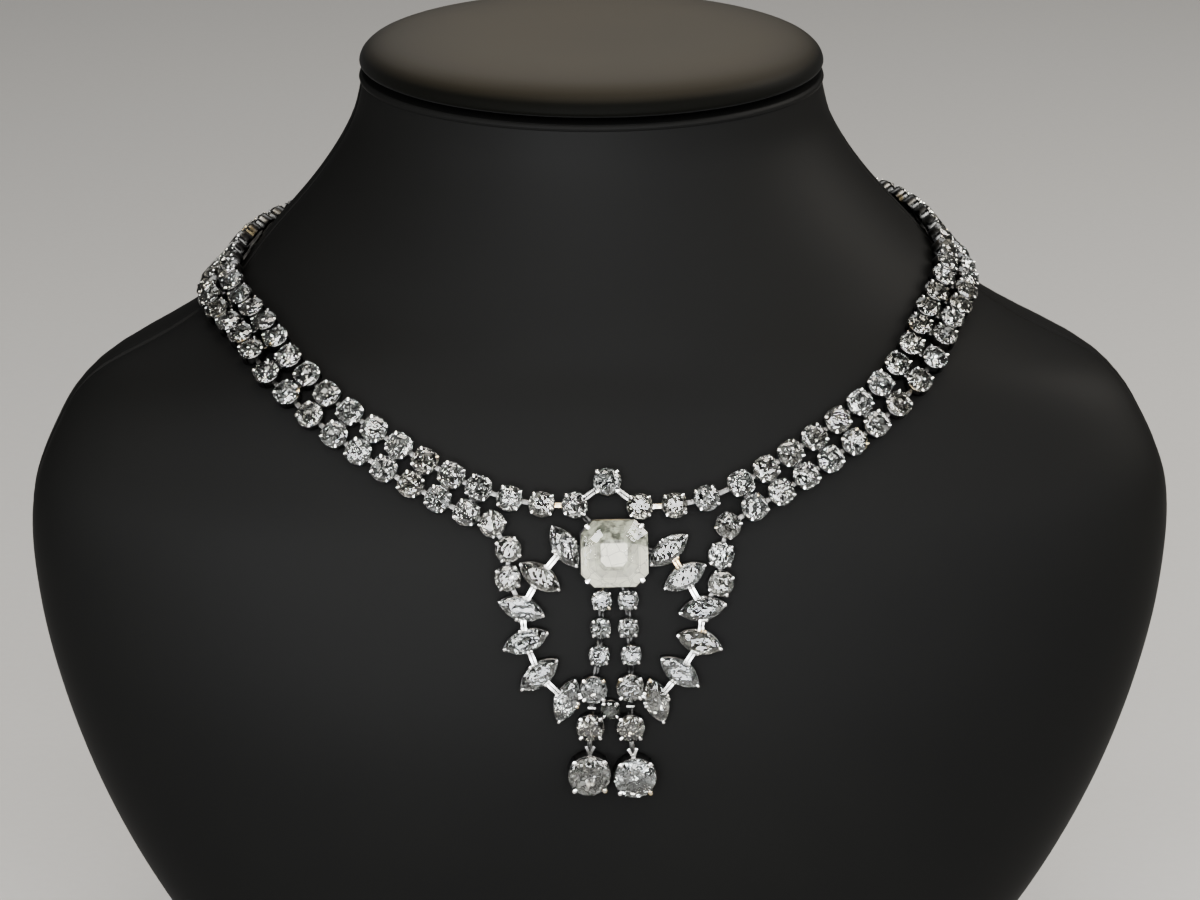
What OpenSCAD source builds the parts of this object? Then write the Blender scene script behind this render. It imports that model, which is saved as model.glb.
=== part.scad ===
// Rhinestone necklace on a neck bust
// Millimetres. X runs to the right as the front is looked at, the front is at -Y and Z is up.
// The origin is the middle of the bust's foot, on the surface that it stands on.

/* [Bust] */
// Width across the shoulders
bust_w = 217; // [210:1:224]
// Facets around the body
bust_sides = 48; // [40:4:56]
// Rings between two rows of the body's table
bust_steps = 2; // [2:1:3]

/* [Neck cap] */
// Height of the domed cap
cap_h = 6.6; // [5:0.2:9]
// Height of the shadow gap between the neck's rim and the cap
cap_gap = 1.2; // [1.2:0.1:2.4]
// How far the cap's foot is set in from the rim
cap_foot_inset = 7; // [5:0.5:10]

/* [Double row] */
// Diameter of a round stone in the double row
row_stone_d = 4.4; // [4.2:0.1:4.6]
// Distance between the upper and the lower row
row_gap = 5.1; // [5.1:0.1:5.3]
// Pairs of stones on each side of the necklace
pairs = 32; // [31:1:33]
// Distance from the last pair to the middle of the back
clasp_reach = 8.4; // [7.8:0.1:9]

/* [Centre stones] */
// Diameter of the top stone and of the four medium stones
medium_stone_d = 4.7; // [4.4:0.1:4.8]
// Diameter of the six small stones in the two strings
small_stone_d = 3.4; // [3.2:0.1:3.5]
// Diameter of the dark stone between the medium ones
dark_stone_d = 3.2; // [3:0.1:3.3]
// Diameter of the two large drops
drop_stone_d = 7.4; // [7:0.1:7.5]
// Length of a marquise stone, tip to tip
marquise_l = 8; // [7.6:0.1:8.2]
// Width of a marquise stone
marquise_w = 4; // [3.8:0.1:4.1]
// Width of the octagon stone across its flats
octagon_w = 11.9; // [11.4:0.1:12]

/* [Settings] */
// How far a cup's wall stands out past its stone
rim = 0.25; // [0.2:0.01:0.3]
// Width of a claw
claw_w = 0.65; // [0.6:0.05:0.7]
// Clear height between the bust and what lies on it
seat_gap = 0.3; // [0.25:0.05:0.4]

/* [Hidden] */
// Body sections: height, half width, depth of the widest line, front depth, back depth, squareness
BODY = [
    [0, 60.0, -16, 34.0, 36.0, 2.3],
    [20, 74.0, -22, 36.0, 44.0, 2.3],
    [40, 86.5, -26, 38.0, 50.0, 2.3],
    [60, 96.0, -29, 39.0, 55.0, 2.3],
    [80, 103.0, -30, 39.5, 59.0, 2.3],
    [100, 107.5, -30, 38.0, 62.0, 2.25],
    [118, 108.5, -28, 36.5, 64.0, 2.2],
    [130, 104.5, -25, 34.5, 64.0, 2.1],
    [140, 97.0, -20, 34.5, 62.0, 2.1],
    [147, 82.0, -14, 36.0, 59.0, 2.25],
    [153, 72.0, -8, 39.0, 55.0, 2.05],
    [162, 63.5, -1, 41.5, 50.0, 2.0],
    [172, 54.0, 4, 42.0, 46.0, 2.0],
    [182, 47.0, 7, 41.5, 42.5, 2.0],
    [190, 44.5, 8, 41.5, 41.0, 2.0]
];
BODY_W = 217;
body_h = BODY[len(BODY) - 1][0];
// The neck's top slants down to the front: where the slant starts, the depth that keeps its height
// there, and the rise for each millimetre towards the back
slant_from = 172;
slant_pivot = -30;
neck_slant = 0.05;

// Cap outline from the foot up: how far the ring is set in, share of the cap's height
CAP_DOME = [[1.2, 0], [0.2, 0.08], [0, 0.2], [0.7, 0.42], [2.6, 0.64], [6.5, 0.82], [13, 0.93], [22, 0.98], [36, 1]];
cap_overhang = 0.5;

// Path of the upper row: angle round the neck, height on the left side, height on the right side
PATH = [
    [0, 124.2, 124.2],
    [8, 125.0, 125.2],
    [12, 127.3, 127.8],
    [20, 133.3, 134.3],
    [28, 139.4, 140.4],
    [36, 144.1, 145.0],
    [45, 147.6, 148.7],
    [56, 150.9, 152.3],
    [70, 153.5, 156.0],
    [88, 156.1, 160.2],
    [108, 157.9, 162.4],
    [130, 159.8, 163.1],
    [155, 161.2, 162.9],
    [180, 162.2, 162.2]
];
LEFT = -1;
RIGHT = 1;
UPPER = 1;
LOWER = -1;
SIDES = [["left", LEFT], ["right", RIGHT]];
first_angle_left = 12.3;
first_angle_right = 11.7;

// Upper row, from the middle outwards: x and height on the left, x and height on the right
UPPER_SINGLES = [
    [-7.1, 124.6, 4.8, 124.2],
    [-13.1, 124.8, 11.2, 124.3],
    [-19.0, 125.8, 17.1, 125.3]
];
// Side drops, from the double row down: x and height on the left, x and height on the right
SIDE_DROPS = [
    [-22.2, 121.6, 20.9, 120.7],
    [-19.4, 117.4, 19.5, 115.8],
    [-19.5, 112.4, 19.4, 110.8]
];
// Marquise stones, from the top down: x, height and turn on the left, then on the right
MARQUISES = [
    [-9.1, 117.8, -59, 9.9, 116.9, 38],
    [-13.7, 112.6, -34, 12.8, 112.2, 29],
    [-17.1, 107.0, -18, 16.0, 106.4, 9],
    [-16.4, 101.1, 21, 15.4, 100.4, -19],
    [-14.0, 94.9, 40, 11.8, 94.9, -38],
    [-9.0, 90.0, 69, 7.5, 89.7, -73]
];
// Which of them carries the side drops, counted from nought
drop_carrier = 2;
// Small stones of the two strings: x and height on the left, then on the right
STRINGS = [
    [-2.4, 108.2, 2.4, 108.2],
    [-2.7, 103.2, 2.4, 103.2],
    [-3.0, 98.2, 2.9, 98.2]
];
// Medium stones under the strings: x and height on the left, then on the right
MEDIUMS = [
    [-4.1, 92.0, 2.7, 92.2],
    [-4.7, 84.9, 2.7, 84.7]
];
// Large drops: x and height on the left, then on the right
DROPS = [-4.9, 76.2, 3.5, 75.6];
TOP = [-1.1, 128.4];
OCTAGON = [-0.1, 116.6];
DARK = [-1.0, 88.1];

// Cut of the stones, as shares of their width
pavilion_share = 0.42;
crown_share = 0.16;
table_share = 0.56;
// Heights in a cup, from its own foot
culet_lift = 0.6;
cup_floor = 0.35;
girdle_seat = 0.18;
// Stones of 4.5 mm and more have twelve facets round, the others eight
fine_stone_d = 4.5;
// How far a round cup's or a marquise cup's bore is smaller than its stone
bore_less = 0.1;
// Straight edges in each arc of a marquise stone's outline
marquise_edges = 6;

// Octagon stone: cut corner, depth, and steps as shares of its width and of its depth
octagon_corner = 2.3;
octagon_depth = 4.6;
OCTAGON_STEPS = [[0.62, 0.3], [1, 0.72], [0.86, 0.85], [0.7, 0.95], [0.54, 1]];
octagon_girdle_share = 0.72;
octagon_seat = 0.38;
octagon_bore_less = 0.4;

// Claws: clear of the stone's edge, and how far their tips lean over it
claw_clear = 0.14;
claw_thick = 0.42;
claw_lean = 0.4;
claw_tip = 0.3;
claw_rise = 0.65;
claw_foot_share = 0.35;

// Hooked tongues between cups
tongue_w = 0.85;
tongue_t = 0.4;
tongue_z = 0.8;
tongue_root = 0.2;
hook_w = 1.85;
hook_t = 0.4;
hook_stop = 1.45;
slot_w = 1.5;
slot_h = 1.25;
slot_z = 0.38;
slot_deep = 1;

// Bars and bridges of the soldered metal
bar_d = 0.9;
bar_z = 0.75;
bridge_w = 1.6;
bridge_h = 1.6;
// Where the joining bars end, as shares of a setting's width
marquise_trim_share = 0.45;
octagon_trim_share = 0.5;

// Clasp
clasp_t = 2.6;
clasp_wall = 0.45;
clasp_end_gap = 0.6;
clasp_round = 1.2;
clasp_pocket = 1.8;
clasp_play = 0.3;

// Step in degrees or millimetres for slopes taken on the body's surface
slope_step = 0.1;
// Turn in degrees over which a walk measures the surface, wide enough to even out the side seam
walk_turn = 3;
// How far round its middle a setting of the centre is held clear of the surface
under_reach = 2.5;
EDGES = 64;

// Numbered main stones: name and how many there are on each side
NUMBERED = [["marquise", 6], ["string", 3], ["medium", 2], ["upper_row", 3], ["side_drop", 3]];

STONE_NODES = concat(
    ["top_stone", "octagon_stone", "dark_stone", "drop_stone_left", "drop_stone_right"],
    [for (row = NUMBERED) for (s = SIDES) for (i = [1 : row[1]]) str(row[0], "_stone_", s[0], "_", i)]
);

// Smooth tables

function last(list) = len(list) - 1;
function row_under(table, key) = max([for (i = [0 : last(table) - 1]) if (i == 0 || table[i][0] <= key) i]);
function slope_at(table, i) =
    let (a = max(i - 1, 0), b = min(i + 1, last(table)))
    (table[b] - table[a]) / (table[b][0] - table[a][0]);
// Row of a table at any key, smooth through all its rows
function smooth_row(table, key) =
    let (
        k = min(max(key, table[0][0]), table[last(table)][0]),
        i = row_under(table, k),
        step = table[i + 1][0] - table[i][0],
        t = (k - table[i][0]) / step
    )
    (2 * t^3 - 3 * t^2 + 1) * table[i] + (t^3 - 2 * t^2 + t) * step * slope_at(table, i)
    + (3 * t^2 - 2 * t^3) * table[i + 1] + (t^3 - t^2) * step * slope_at(table, i + 1);

// The body's surface

function signed_power(v, p) = sign(v) * abs(v)^p;
function body_row(z) = smooth_row(BODY, z);
// Point on the surface at an angle round the body, where 0 is the front and 90 the right
function body_point(angle, z, inset = 0) =
    let (row = body_row(z), p = 2 / row[5], depth = cos(angle) > 0 ? row[3] : row[4])
    [(row[1] * bust_w / BODY_W - inset) * signed_power(sin(angle), p),
     row[2] - (depth - inset) * signed_power(cos(angle), p), z];
// Point moved by the slant of the neck's top
function slanted(p) =
    let (share = min(max((p[2] - slant_from) / (body_h - slant_from), 0), 1))
    [p[0], p[1], p[2] + neck_slant * share^2 * (p[1] - slant_pivot)];
// Point on the front of the body at x and height z
function chest_point(x, z) =
    let (row = body_row(z), share = abs(x) / (row[1] * bust_w / BODY_W))
    [x, row[2] - row[3] * (1 - share^row[5])^(1 / row[5]), z];

function unit(v) = v / norm(v);
// A frame is a place and its three directions: along, across and out of the surface
function chest_frame(x, z) =
    let (
        along = unit(chest_point(x + slope_step, z) - chest_point(x - slope_step, z)),
        rise = chest_point(x, z + slope_step) - chest_point(x, z - slope_step),
        out = unit(cross(along, rise)),
        across = cross(out, along),
        around = [-under_reach, 0, under_reach],
        under = [for (dx = around) for (dz = around) chest_point(x + dx, z + dz)]
    )
    raised([chest_point(x, z), along, across, out], under);
// The frame, lifted clear of the highest of the points under it
function raised(frame, under) =
    let (top = max([for (p = under) (p - frame[0]) * frame[3]]))
    [frame[0] + (top + seat_gap) * frame[3], frame[1], frame[2], frame[3]];
function from_frame(frame, x, y, z = 0) = frame[0] + x * frame[1] + y * frame[2] + z * frame[3];
function bearing(frame, point) = atan2((point - frame[0]) * frame[2], (point - frame[0]) * frame[1]);

// The double row's path

function path_height(side, angle) = smooth_row(PATH, angle)[side == LEFT ? 1 : 2];
function path_point(side, angle) = body_point(side * angle, path_height(side, angle));
// Length of the path up to each degree, as pairs of length and angle
function path_lengths(side) =
    [for (a = 0, s = 0; a <= 180; s = s + norm(path_point(side, a + 1) - path_point(side, a)), a = a + 1) [s, a]];
PATH_LEFT = path_lengths(LEFT);
PATH_RIGHT = path_lengths(RIGHT);
function swapped(table) = [for (row = table) [row[1], row[0]]];
function pair_angle(side, k) =
    let (
        table = side == LEFT ? PATH_LEFT : PATH_RIGHT,
        first = lookup(side == LEFT ? first_angle_left : first_angle_right, swapped(table)),
        end = table[last(table)][0] - clasp_reach
    )
    lookup(first + (end - first) * k / (pairs - 1), table);
// Angle and height that a small move along the surface leads to
function walked(at, move) =
    let (
        p = body_point(at[0], at[1]),
        du = (body_point(at[0] + walk_turn, at[1]) - body_point(at[0] - walk_turn, at[1])) / (2 * walk_turn),
        dv = (body_point(at[0], at[1] + slope_step) - p) / slope_step,
        area = (du * du) * (dv * dv) - (du * dv)^2
    )
    [at[0] + ((dv * dv) * (move * du) - (du * dv) * (move * dv)) / area,
     at[1] + ((du * du) * (move * dv) - (du * dv) * (move * du)) / area];
function surface_at(at) = body_point(at[0], at[1]);
// Frame in the middle of a pair: along runs away from the front, the upper row is at side * row_gap / 2
function pair_frame(side, k) =
    let (
        angle = pair_angle(side, k),
        at = [side * angle, path_height(side, angle)],
        upper = surface_at(at),
        ahead = unit(path_point(side, angle + 1) - path_point(side, angle - 1)),
        rise = surface_at([at[0], at[1] + slope_step]) - upper,
        skin = unit(side * cross(ahead, rise)),
        down = unit(side * cross(ahead, skin)),
        lower = surface_at(walked(at, down * row_gap)),
        across = side * unit(upper - lower),
        out = unit(cross(ahead, across)),
        along = cross(across, out),
        middle = (upper + lower) / 2,
        mid_at = walked(at, down * row_gap / 2),
        half_w = row_stone_d / 2 + rim,
        half_l = half_w + row_gap / 2,
        under = [for (u = [-half_w, 0, half_w]) for (v = [-half_l, 0, half_l])
            surface_at(walked(mid_at, u * along + v * across))]
    )
    raised([middle, along, across, out], under);
function first_pair_place(side, row) = from_frame(pair_frame(side, 0), 0, row * side * row_gap / 2);

// Places a thing's own X, Y and Z on a frame's three directions
module on_frame(frame) {
    multmatrix([for (i = [0 : 2]) [frame[1][i], frame[2][i], frame[3][i], frame[0][i]]]) children();
}

// Closed skins

// Skin over rings that all have the same number of points, listed from the bottom up
module loft(rings) {
    n = len(rings[0]);
    top = last(rings) * n;
    walls = [for (i = [0 : last(rings) - 1]) for (j = [0 : n - 1])
        let (a = i * n + j, b = i * n + (j + 1) % n)
        each [[a, a + n, b + n], [a, b + n, b]]];
    polyhedron([for (ring = rings) each ring],
        concat(walls, [[for (j = [0 : n - 1]) j]], [[for (j = [0 : n - 1]) top + n - 1 - j]]));
}

// Cut stone: a culet point, and rings from the pavilion up to the table
module cut_stone(culet, rings) {
    n = len(rings[0]);
    top = last(rings) * n + 1;
    points = concat([culet], [for (ring = rings) each ring]);
    pavilion = [for (j = [0 : n - 1]) [0, 1 + j, 1 + (j + 1) % n]];
    crown = [for (i = [0 : 1 : last(rings) - 1]) for (j = [0 : n - 1])
        let (a = 1 + i * n + j, b = 1 + i * n + (j + 1) % n)
        [a, a + n, b + n, b]];
    polyhedron(points, concat(pavilion, crown, [[for (j = [0 : n - 1]) top + n - 1 - j]]));
}

function lifted(outline, share, z) = [for (p = outline) [p[0] * share, p[1] * share, z]];
function girdle_z(w) = culet_lift + pavilion_share * w;
function table_z(w) = girdle_z(w) + crown_share * w;
function round_outline(d) =
    let (n = d < fine_stone_d ? 8 : 12)
    [for (j = [0 : n - 1]) d / 2 * [cos((j + 0.5) * 360 / n), sin((j + 0.5) * 360 / n)]];
// Radius of the two arcs that make a pointed oval
function oval_radius(l, w) = (l^2 + w^2) / (4 * w);
function oval_outline(l, w) =
    let (
        r = oval_radius(l, w),
        sweep = asin(l / 2 / r),
        turns = [for (j = [0 : marquise_edges - 1]) sweep * (1 - 2 * j / marquise_edges)]
    )
    [for (half = [1, -1]) for (a = turns) half * [r * sin(a), r * cos(a) - r + w / 2]];
function octagon_outline(w, corner) =
    let (h = w / 2, c = w / 2 - corner)
    [[h, -c], [h, c], [c, h], [-c, h], [-h, c], [-h, -c], [-c, -h], [c, -h]];

module round_stone(d) {
    outline = round_outline(d);
    cut_stone([0, 0, culet_lift], [lifted(outline, 1, girdle_z(d)), lifted(outline, table_share, table_z(d))]);
}

module marquise_stone() {
    outline = oval_outline(marquise_l, marquise_w);
    cut_stone([0, 0, culet_lift],
        [lifted(outline, 1, girdle_z(marquise_w)), lifted(outline, table_share, table_z(marquise_w))]);
}

module octagon_stone() {
    outline = octagon_outline(octagon_w, octagon_corner);
    cut_stone([0, 0, culet_lift],
        [for (s = OCTAGON_STEPS) lifted(outline, s[0], culet_lift + octagon_depth * s[1])]);
}

// Cups and claws

// Claw against the outside of a wall at x = reach, with its tip leaning over the stone
module claw(reach, girdle) {
    foot = girdle * claw_foot_share;
    top = girdle + claw_rise;
    inner = reach + claw_clear;
    translate([0, claw_w / 2, 0])
        rotate([90, 0, 0])
            linear_extrude(claw_w)
                polygon([
                    [inner, foot], [inner + claw_thick, foot], [inner + claw_thick, top - claw_tip],
                    [inner - claw_lean, top], [inner, girdle]
                ]);
}

// Window in a cup's wall towards -X, turned by an angle
module slot(reach, turn = 0) {
    rotate(turn)
        translate([-reach - slot_deep, -slot_w / 2, slot_z])
            cube([2 * slot_deep, slot_w, slot_h]);
}

module round_cup(d, slots = []) {
    wall_r = d / 2 + rim;
    difference() {
        cylinder(h = girdle_z(d) - girdle_seat, r = wall_r, $fn = EDGES);
        translate([0, 0, cup_floor])
            cylinder(h = girdle_z(d), d = d - bore_less, $fn = EDGES);
        for (turn = slots)
            slot(wall_r, turn);
    }
}

module round_claws(d, start = 45) {
    for (turn = [0 : 90 : 270])
        rotate(start + turn)
            claw(d / 2, girdle_z(d));
}

// Flat tongue from the wall of a setting on a frame, whose hook lies inside the cup ahead
module tongue(frame, wall_r, ahead) {
    step = ahead - frame[0];
    tip = norm(step) - hook_stop;
    rotate([0, -asin(step * frame[3] / norm(step)), bearing(frame, ahead)]) {
        translate([wall_r - tongue_root, -tongue_w / 2, tongue_z])
            cube([tip - wall_r + tongue_root, tongue_w, tongue_t]);
        translate([tip - hook_t / 2, -hook_w / 2, tongue_z])
            cube([hook_t, hook_w, tongue_t]);
    }
}

// Link of a row: it hooks into the cup ahead, and the cup behind hooks into it
module row_link(frame, ahead, behind) {
    turn = bearing(frame, ahead);
    slot_turn = bearing(frame, behind) + 180;
    bend = (slot_turn - turn + 540) % 360 - 180;
    on_frame(frame) {
        round_cup(row_stone_d, [slot_turn]);
        round_claws(row_stone_d, turn + bend / 2 + 45);
        tongue(frame, row_stone_d / 2 + rim, ahead);
    }
}

// The double row

// Pairs of links, each soldered side by side; the single links of the upper row hook into the
// first upper cup, the side drops into the first lower cup, and the last pair into the clasp
module pair_settings(side) {
    frames = [for (k = [0 : pairs - 1]) pair_frame(side, k)];
    for (row = [UPPER, LOWER]) {
        offset_y = row * side * row_gap / 2;
        first = row == UPPER ? singles_frame(UPPER_SINGLES, side, 2) : singles_frame(SIDE_DROPS, side, 0);
        places = concat(
            [first[0]],
            [for (frame = frames) from_frame(frame, 0, offset_y)],
            [from_frame(clasp_frame, -side * clasp_hold, row * row_gap / 2)]
        );
        for (k = [0 : pairs - 1])
            row_link([places[k + 1], frames[k][1], frames[k][2], frames[k][3]], places[k + 2], places[k]);
    }
    bridge_l = row_gap - row_stone_d;
    for (frame = frames)
        on_frame(frame)
            translate([-bridge_w / 2, -bridge_l / 2, 0])
                cube([bridge_w, bridge_l, bridge_h]);
}

module pair_stones(side) {
    for (k = [0 : pairs - 1])
        on_frame(pair_frame(side, k))
            for (row = [UPPER, LOWER])
                translate([0, row * row_gap / 2, 0])
                    round_stone(row_stone_d);
}

module pair_settings_left() { color("dimgray") pair_settings(LEFT); }
module pair_settings_right() { color("dimgray") pair_settings(RIGHT); }
module pair_stones_left() { color("whitesmoke") pair_stones(LEFT); }
module pair_stones_right() { color("whitesmoke") pair_stones(RIGHT); }

clasp_half = clasp_reach - row_stone_d / 2 - rim - clasp_end_gap;
clasp_h = row_gap + hook_w + 2 * clasp_round;
clasp_hold = clasp_half - clasp_wall - clasp_pocket / 2 - hook_stop;
clasp_frame =
    let (
        behind = 180,
        z = path_height(RIGHT, behind) - row_gap / 2,
        rise = unit(body_point(behind, z + slope_step) - body_point(behind, z - slope_step)),
        under = [for (a = [-clasp_half, 0, clasp_half]) for (v = [-clasp_h / 2, 0, clasp_h / 2])
            body_point(behind + a, z + v)]
    )
    raised([body_point(behind, z), [-1, 0, 0], rise, cross([-1, 0, 0], rise)], under);

// Plain clasp at the middle of the back, with two pockets in each end for the last hooks
module clasp() {
    pocket_w = hook_w + 2 * clasp_play;
    color("silver")
        on_frame(clasp_frame)
            difference() {
                linear_extrude(clasp_t)
                    rounded_plate(2 * clasp_half, clasp_h, clasp_round);
                for (end = [0, 180]) for (row = [UPPER, LOWER])
                    rotate(end)
                        translate([0, row * row_gap / 2, 0]) {
                            slot(clasp_half);
                            translate([-clasp_half + clasp_wall, -pocket_w / 2, slot_z])
                                cube([clasp_pocket, pocket_w, slot_h]);
                        }
            }
}

module rounded_plate(l, w, r) {
    square([l - 2 * r, w], center = true);
    square([l, w - 2 * r], center = true);
    for (x = [-1, 1]) for (y = [-1, 1])
        translate([x * (l / 2 - r), y * (w / 2 - r)])
            circle(r = r, $fn = EDGES);
}

// Frames of the centre's pieces

function side_column(side, columns) = side == LEFT ? 0 : columns;
function singles_frame(table, side, i) =
    let (c = side_column(side, 2))
    chest_frame(table[i][c], table[i][c + 1]);
function marquise_frame(side, i) =
    let (c = side_column(side, 3))
    chest_frame(MARQUISES[i][c], MARQUISES[i][c + 1]);
function marquise_turn(side, i) = MARQUISES[i][side_column(side, 3) + 2];
function drop_frame(side) =
    let (c = side_column(side, 2))
    chest_frame(DROPS[c], DROPS[c + 1]);
top_frame = chest_frame(TOP[0], TOP[1]);
octagon_frame = chest_frame(OCTAGON[0], OCTAGON[1]);
dark_frame = chest_frame(DARK[0], DARK[1]);

// Loose cups of the upper row and of the side drops
module single_settings(side) {
    upper = [for (i = [0 : 2]) singles_frame(UPPER_SINGLES, side, i)];
    for (i = [1 : 2])
        row_link(upper[i], i == 2 ? first_pair_place(side, UPPER) : upper[i + 1][0], upper[i - 1][0]);
    drops = [for (i = [0 : 2]) singles_frame(SIDE_DROPS, side, i)];
    for (i = [0 : 2])
        row_link(drops[i], i == 0 ? first_pair_place(side, LOWER) : drops[i - 1][0],
            i == 2 ? marquise_frame(side, drop_carrier)[0] : drops[i + 1][0]);
}
module single_settings_left() { color("dimgray") single_settings(LEFT); }
module single_settings_right() { color("dimgray") single_settings(RIGHT); }

// Soldered metal of the centre

// Round bar between two places, from one wall to the other
module bar(a, b, trim_a, trim_b, out) {
    start = a + unit(b - a) * trim_a + out * bar_z;
    run = b - unit(b - a) * trim_b + out * bar_z - start;
    translate(start)
        rotate([0, acos(run[2] / norm(run)), atan2(run[1], run[0])])
            cylinder(h = norm(run), d = bar_d, $fn = EDGES);
}

module marquise_cup() {
    h = girdle_z(marquise_w) - girdle_seat;
    difference() {
        linear_extrude(h)
            pointed_oval(marquise_l + 4 * rim, marquise_w + 2 * rim);
        translate([0, 0, cup_floor])
            linear_extrude(h)
                pointed_oval(marquise_l - 2 * bore_less, marquise_w - bore_less);
    }
    for (end = [0, 180]) {
        rotate(end)
            claw(marquise_l / 2, girdle_z(marquise_w));
        rotate(end + 90)
            claw(marquise_w / 2, girdle_z(marquise_w));
    }
}

module pointed_oval(l, w) {
    r = oval_radius(l, w);
    intersection() {
        translate([0, w / 2 - r]) circle(r = r, $fn = EDGES);
        translate([0, r - w / 2]) circle(r = r, $fn = EDGES);
    }
}

module octagon_cup() {
    girdle = culet_lift + octagon_depth * octagon_girdle_share;
    wall_w = octagon_w + 2 * rim;
    difference() {
        linear_extrude(girdle - octagon_seat)
            polygon(octagon_outline(wall_w, octagon_corner));
        translate([0, 0, cup_floor])
            linear_extrude(girdle)
                polygon(octagon_outline(octagon_w - octagon_bore_less, octagon_corner));
    }
    corner_reach = (octagon_w - octagon_corner) / sqrt(2);
    for (turn = [45 : 90 : 315])
        rotate(turn)
            claw(corner_reach, girdle);
}

// Bars along the ring of marquise settings, and the hook that carries a side drop
module marquise_ring(side) {
    frames = [for (i = [0 : last(MARQUISES)]) marquise_frame(side, i)];
    trim = marquise_w * marquise_trim_share;
    for (i = [0 : last(frames)])
        on_frame(frames[i])
            rotate(marquise_turn(side, i))
                marquise_cup();
    for (i = [0 : last(frames) - 1])
        bar(frames[i][0], frames[i + 1][0], trim, trim, frames[i][3]);
    bar(octagon_frame[0], frames[0][0], octagon_w * octagon_trim_share, trim, frames[0][3]);
    medium = singles_frame(MEDIUMS, side, 0);
    bar(medium[0], frames[last(frames)][0], medium_stone_d / 2, trim, medium[3]);
    carrier = frames[drop_carrier];
    on_frame(carrier)
        tongue(carrier, marquise_w / 2, singles_frame(SIDE_DROPS, side, 2)[0]);
}

module string_metal(side) {
    strings = [for (i = [0 : 2]) singles_frame(STRINGS, side, i)];
    mediums = [for (i = [0 : 1]) singles_frame(MEDIUMS, side, i)];
    for (frame = strings)
        on_frame(frame) {
            round_cup(small_stone_d);
            round_claws(small_stone_d);
        }
    for (i = [0 : 1])
        on_frame(mediums[i]) {
            round_cup(medium_stone_d, i == 1 ? [bearing(mediums[1], drop_frame(side)[0]) + 180] : []);
            round_claws(medium_stone_d);
        }
    small_trim = small_stone_d / 2;
    medium_trim = medium_stone_d / 2;
    bar(octagon_frame[0], strings[0][0], octagon_w * octagon_trim_share, small_trim, strings[0][3]);
    for (i = [0 : 1])
        bar(strings[i][0], strings[i + 1][0], small_trim, small_trim, strings[i][3]);
    bar(strings[2][0], mediums[0][0], small_trim, medium_trim, mediums[0][3]);
    bar(mediums[0][0], mediums[1][0], medium_trim, medium_trim, mediums[0][3]);
    bar(dark_frame[0], mediums[1][0], dark_stone_d / 2, medium_trim, dark_frame[3]);
}

module centre_setting() {
    color("silver") {
        on_frame(top_frame) {
            round_cup(medium_stone_d);
            round_claws(medium_stone_d);
        }
        on_frame(octagon_frame)
            octagon_cup();
        on_frame(dark_frame) {
            round_cup(dark_stone_d);
            round_claws(dark_stone_d);
        }
        for (s = SIDES) {
            side = s[1];
            first = singles_frame(UPPER_SINGLES, side, 0);
            next = singles_frame(UPPER_SINGLES, side, 1)[0];
            on_frame(first) {
                round_cup(row_stone_d);
                round_claws(row_stone_d, bearing(first, next) + 45);
                tongue(first, row_stone_d / 2 + rim, next);
            }
            bar(top_frame[0], first[0], medium_stone_d / 2, row_stone_d / 2, first[3]);
            bar(octagon_frame[0], first[0], octagon_w * octagon_trim_share, row_stone_d / 2, first[3]);
            marquise_ring(side);
            string_metal(side);
        }
    }
}

// Large drops, each hooked into the medium cup above it
module drop_setting(side) {
    frame = drop_frame(side);
    above = singles_frame(MEDIUMS, side, 1)[0];
    color("silver")
        on_frame(frame) {
            round_cup(drop_stone_d);
            round_claws(drop_stone_d);
            tongue(frame, drop_stone_d / 2 + rim, above);
        }
}
module drop_setting_left() { drop_setting(LEFT); }
module drop_setting_right() { drop_setting(RIGHT); }

// Bust

module bust_body() {
    heights = concat(
        [for (i = [0 : last(BODY) - 1]) for (j = [0 : bust_steps - 1])
            BODY[i][0] + (BODY[i + 1][0] - BODY[i][0]) * j / bust_steps],
        [body_h]
    );
    color([0.08, 0.08, 0.085])
        loft([for (z = heights) [for (j = [0 : bust_sides - 1])
            slanted(body_point(90 + j * 360 / bust_sides, z))]]);
}

module neck_cap() {
    base = body_h + seat_gap;
    under = body_h + cap_gap;
    color([0.2, 0.19, 0.17])
        loft(concat(
            [cap_ring(cap_foot_inset, base), cap_ring(cap_foot_inset, under)],
            [for (row = CAP_DOME) cap_ring(row[0] - cap_overhang, under + row[1] * cap_h)]
        ));
}
function cap_ring(inset, z) =
    [for (j = [0 : bust_sides - 1])
        let (p = body_point(90 + j * 360 / bust_sides, body_h, inset))
        slanted([p[0], p[1], z])];

// Main stones

module stone_on(frame, turn = 0) {
    color("whitesmoke") on_frame(frame) rotate(turn) children();
}

module main_stone(name, side, i) {
    if (name == "marquise")
        stone_on(marquise_frame(side, i), marquise_turn(side, i)) marquise_stone();
    if (name == "string")
        stone_on(singles_frame(STRINGS, side, i)) round_stone(small_stone_d);
    if (name == "medium")
        stone_on(singles_frame(MEDIUMS, side, i)) round_stone(medium_stone_d);
    if (name == "upper_row")
        stone_on(singles_frame(UPPER_SINGLES, side, i)) round_stone(row_stone_d);
    if (name == "side_drop")
        stone_on(singles_frame(SIDE_DROPS, side, i)) round_stone(row_stone_d);
}

module top_stone() { stone_on(top_frame) round_stone(medium_stone_d); }
module octagon_centre_stone() { stone_on(octagon_frame) octagon_stone(); }
module dark_stone() { color("gray") on_frame(dark_frame) round_stone(dark_stone_d); }

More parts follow.
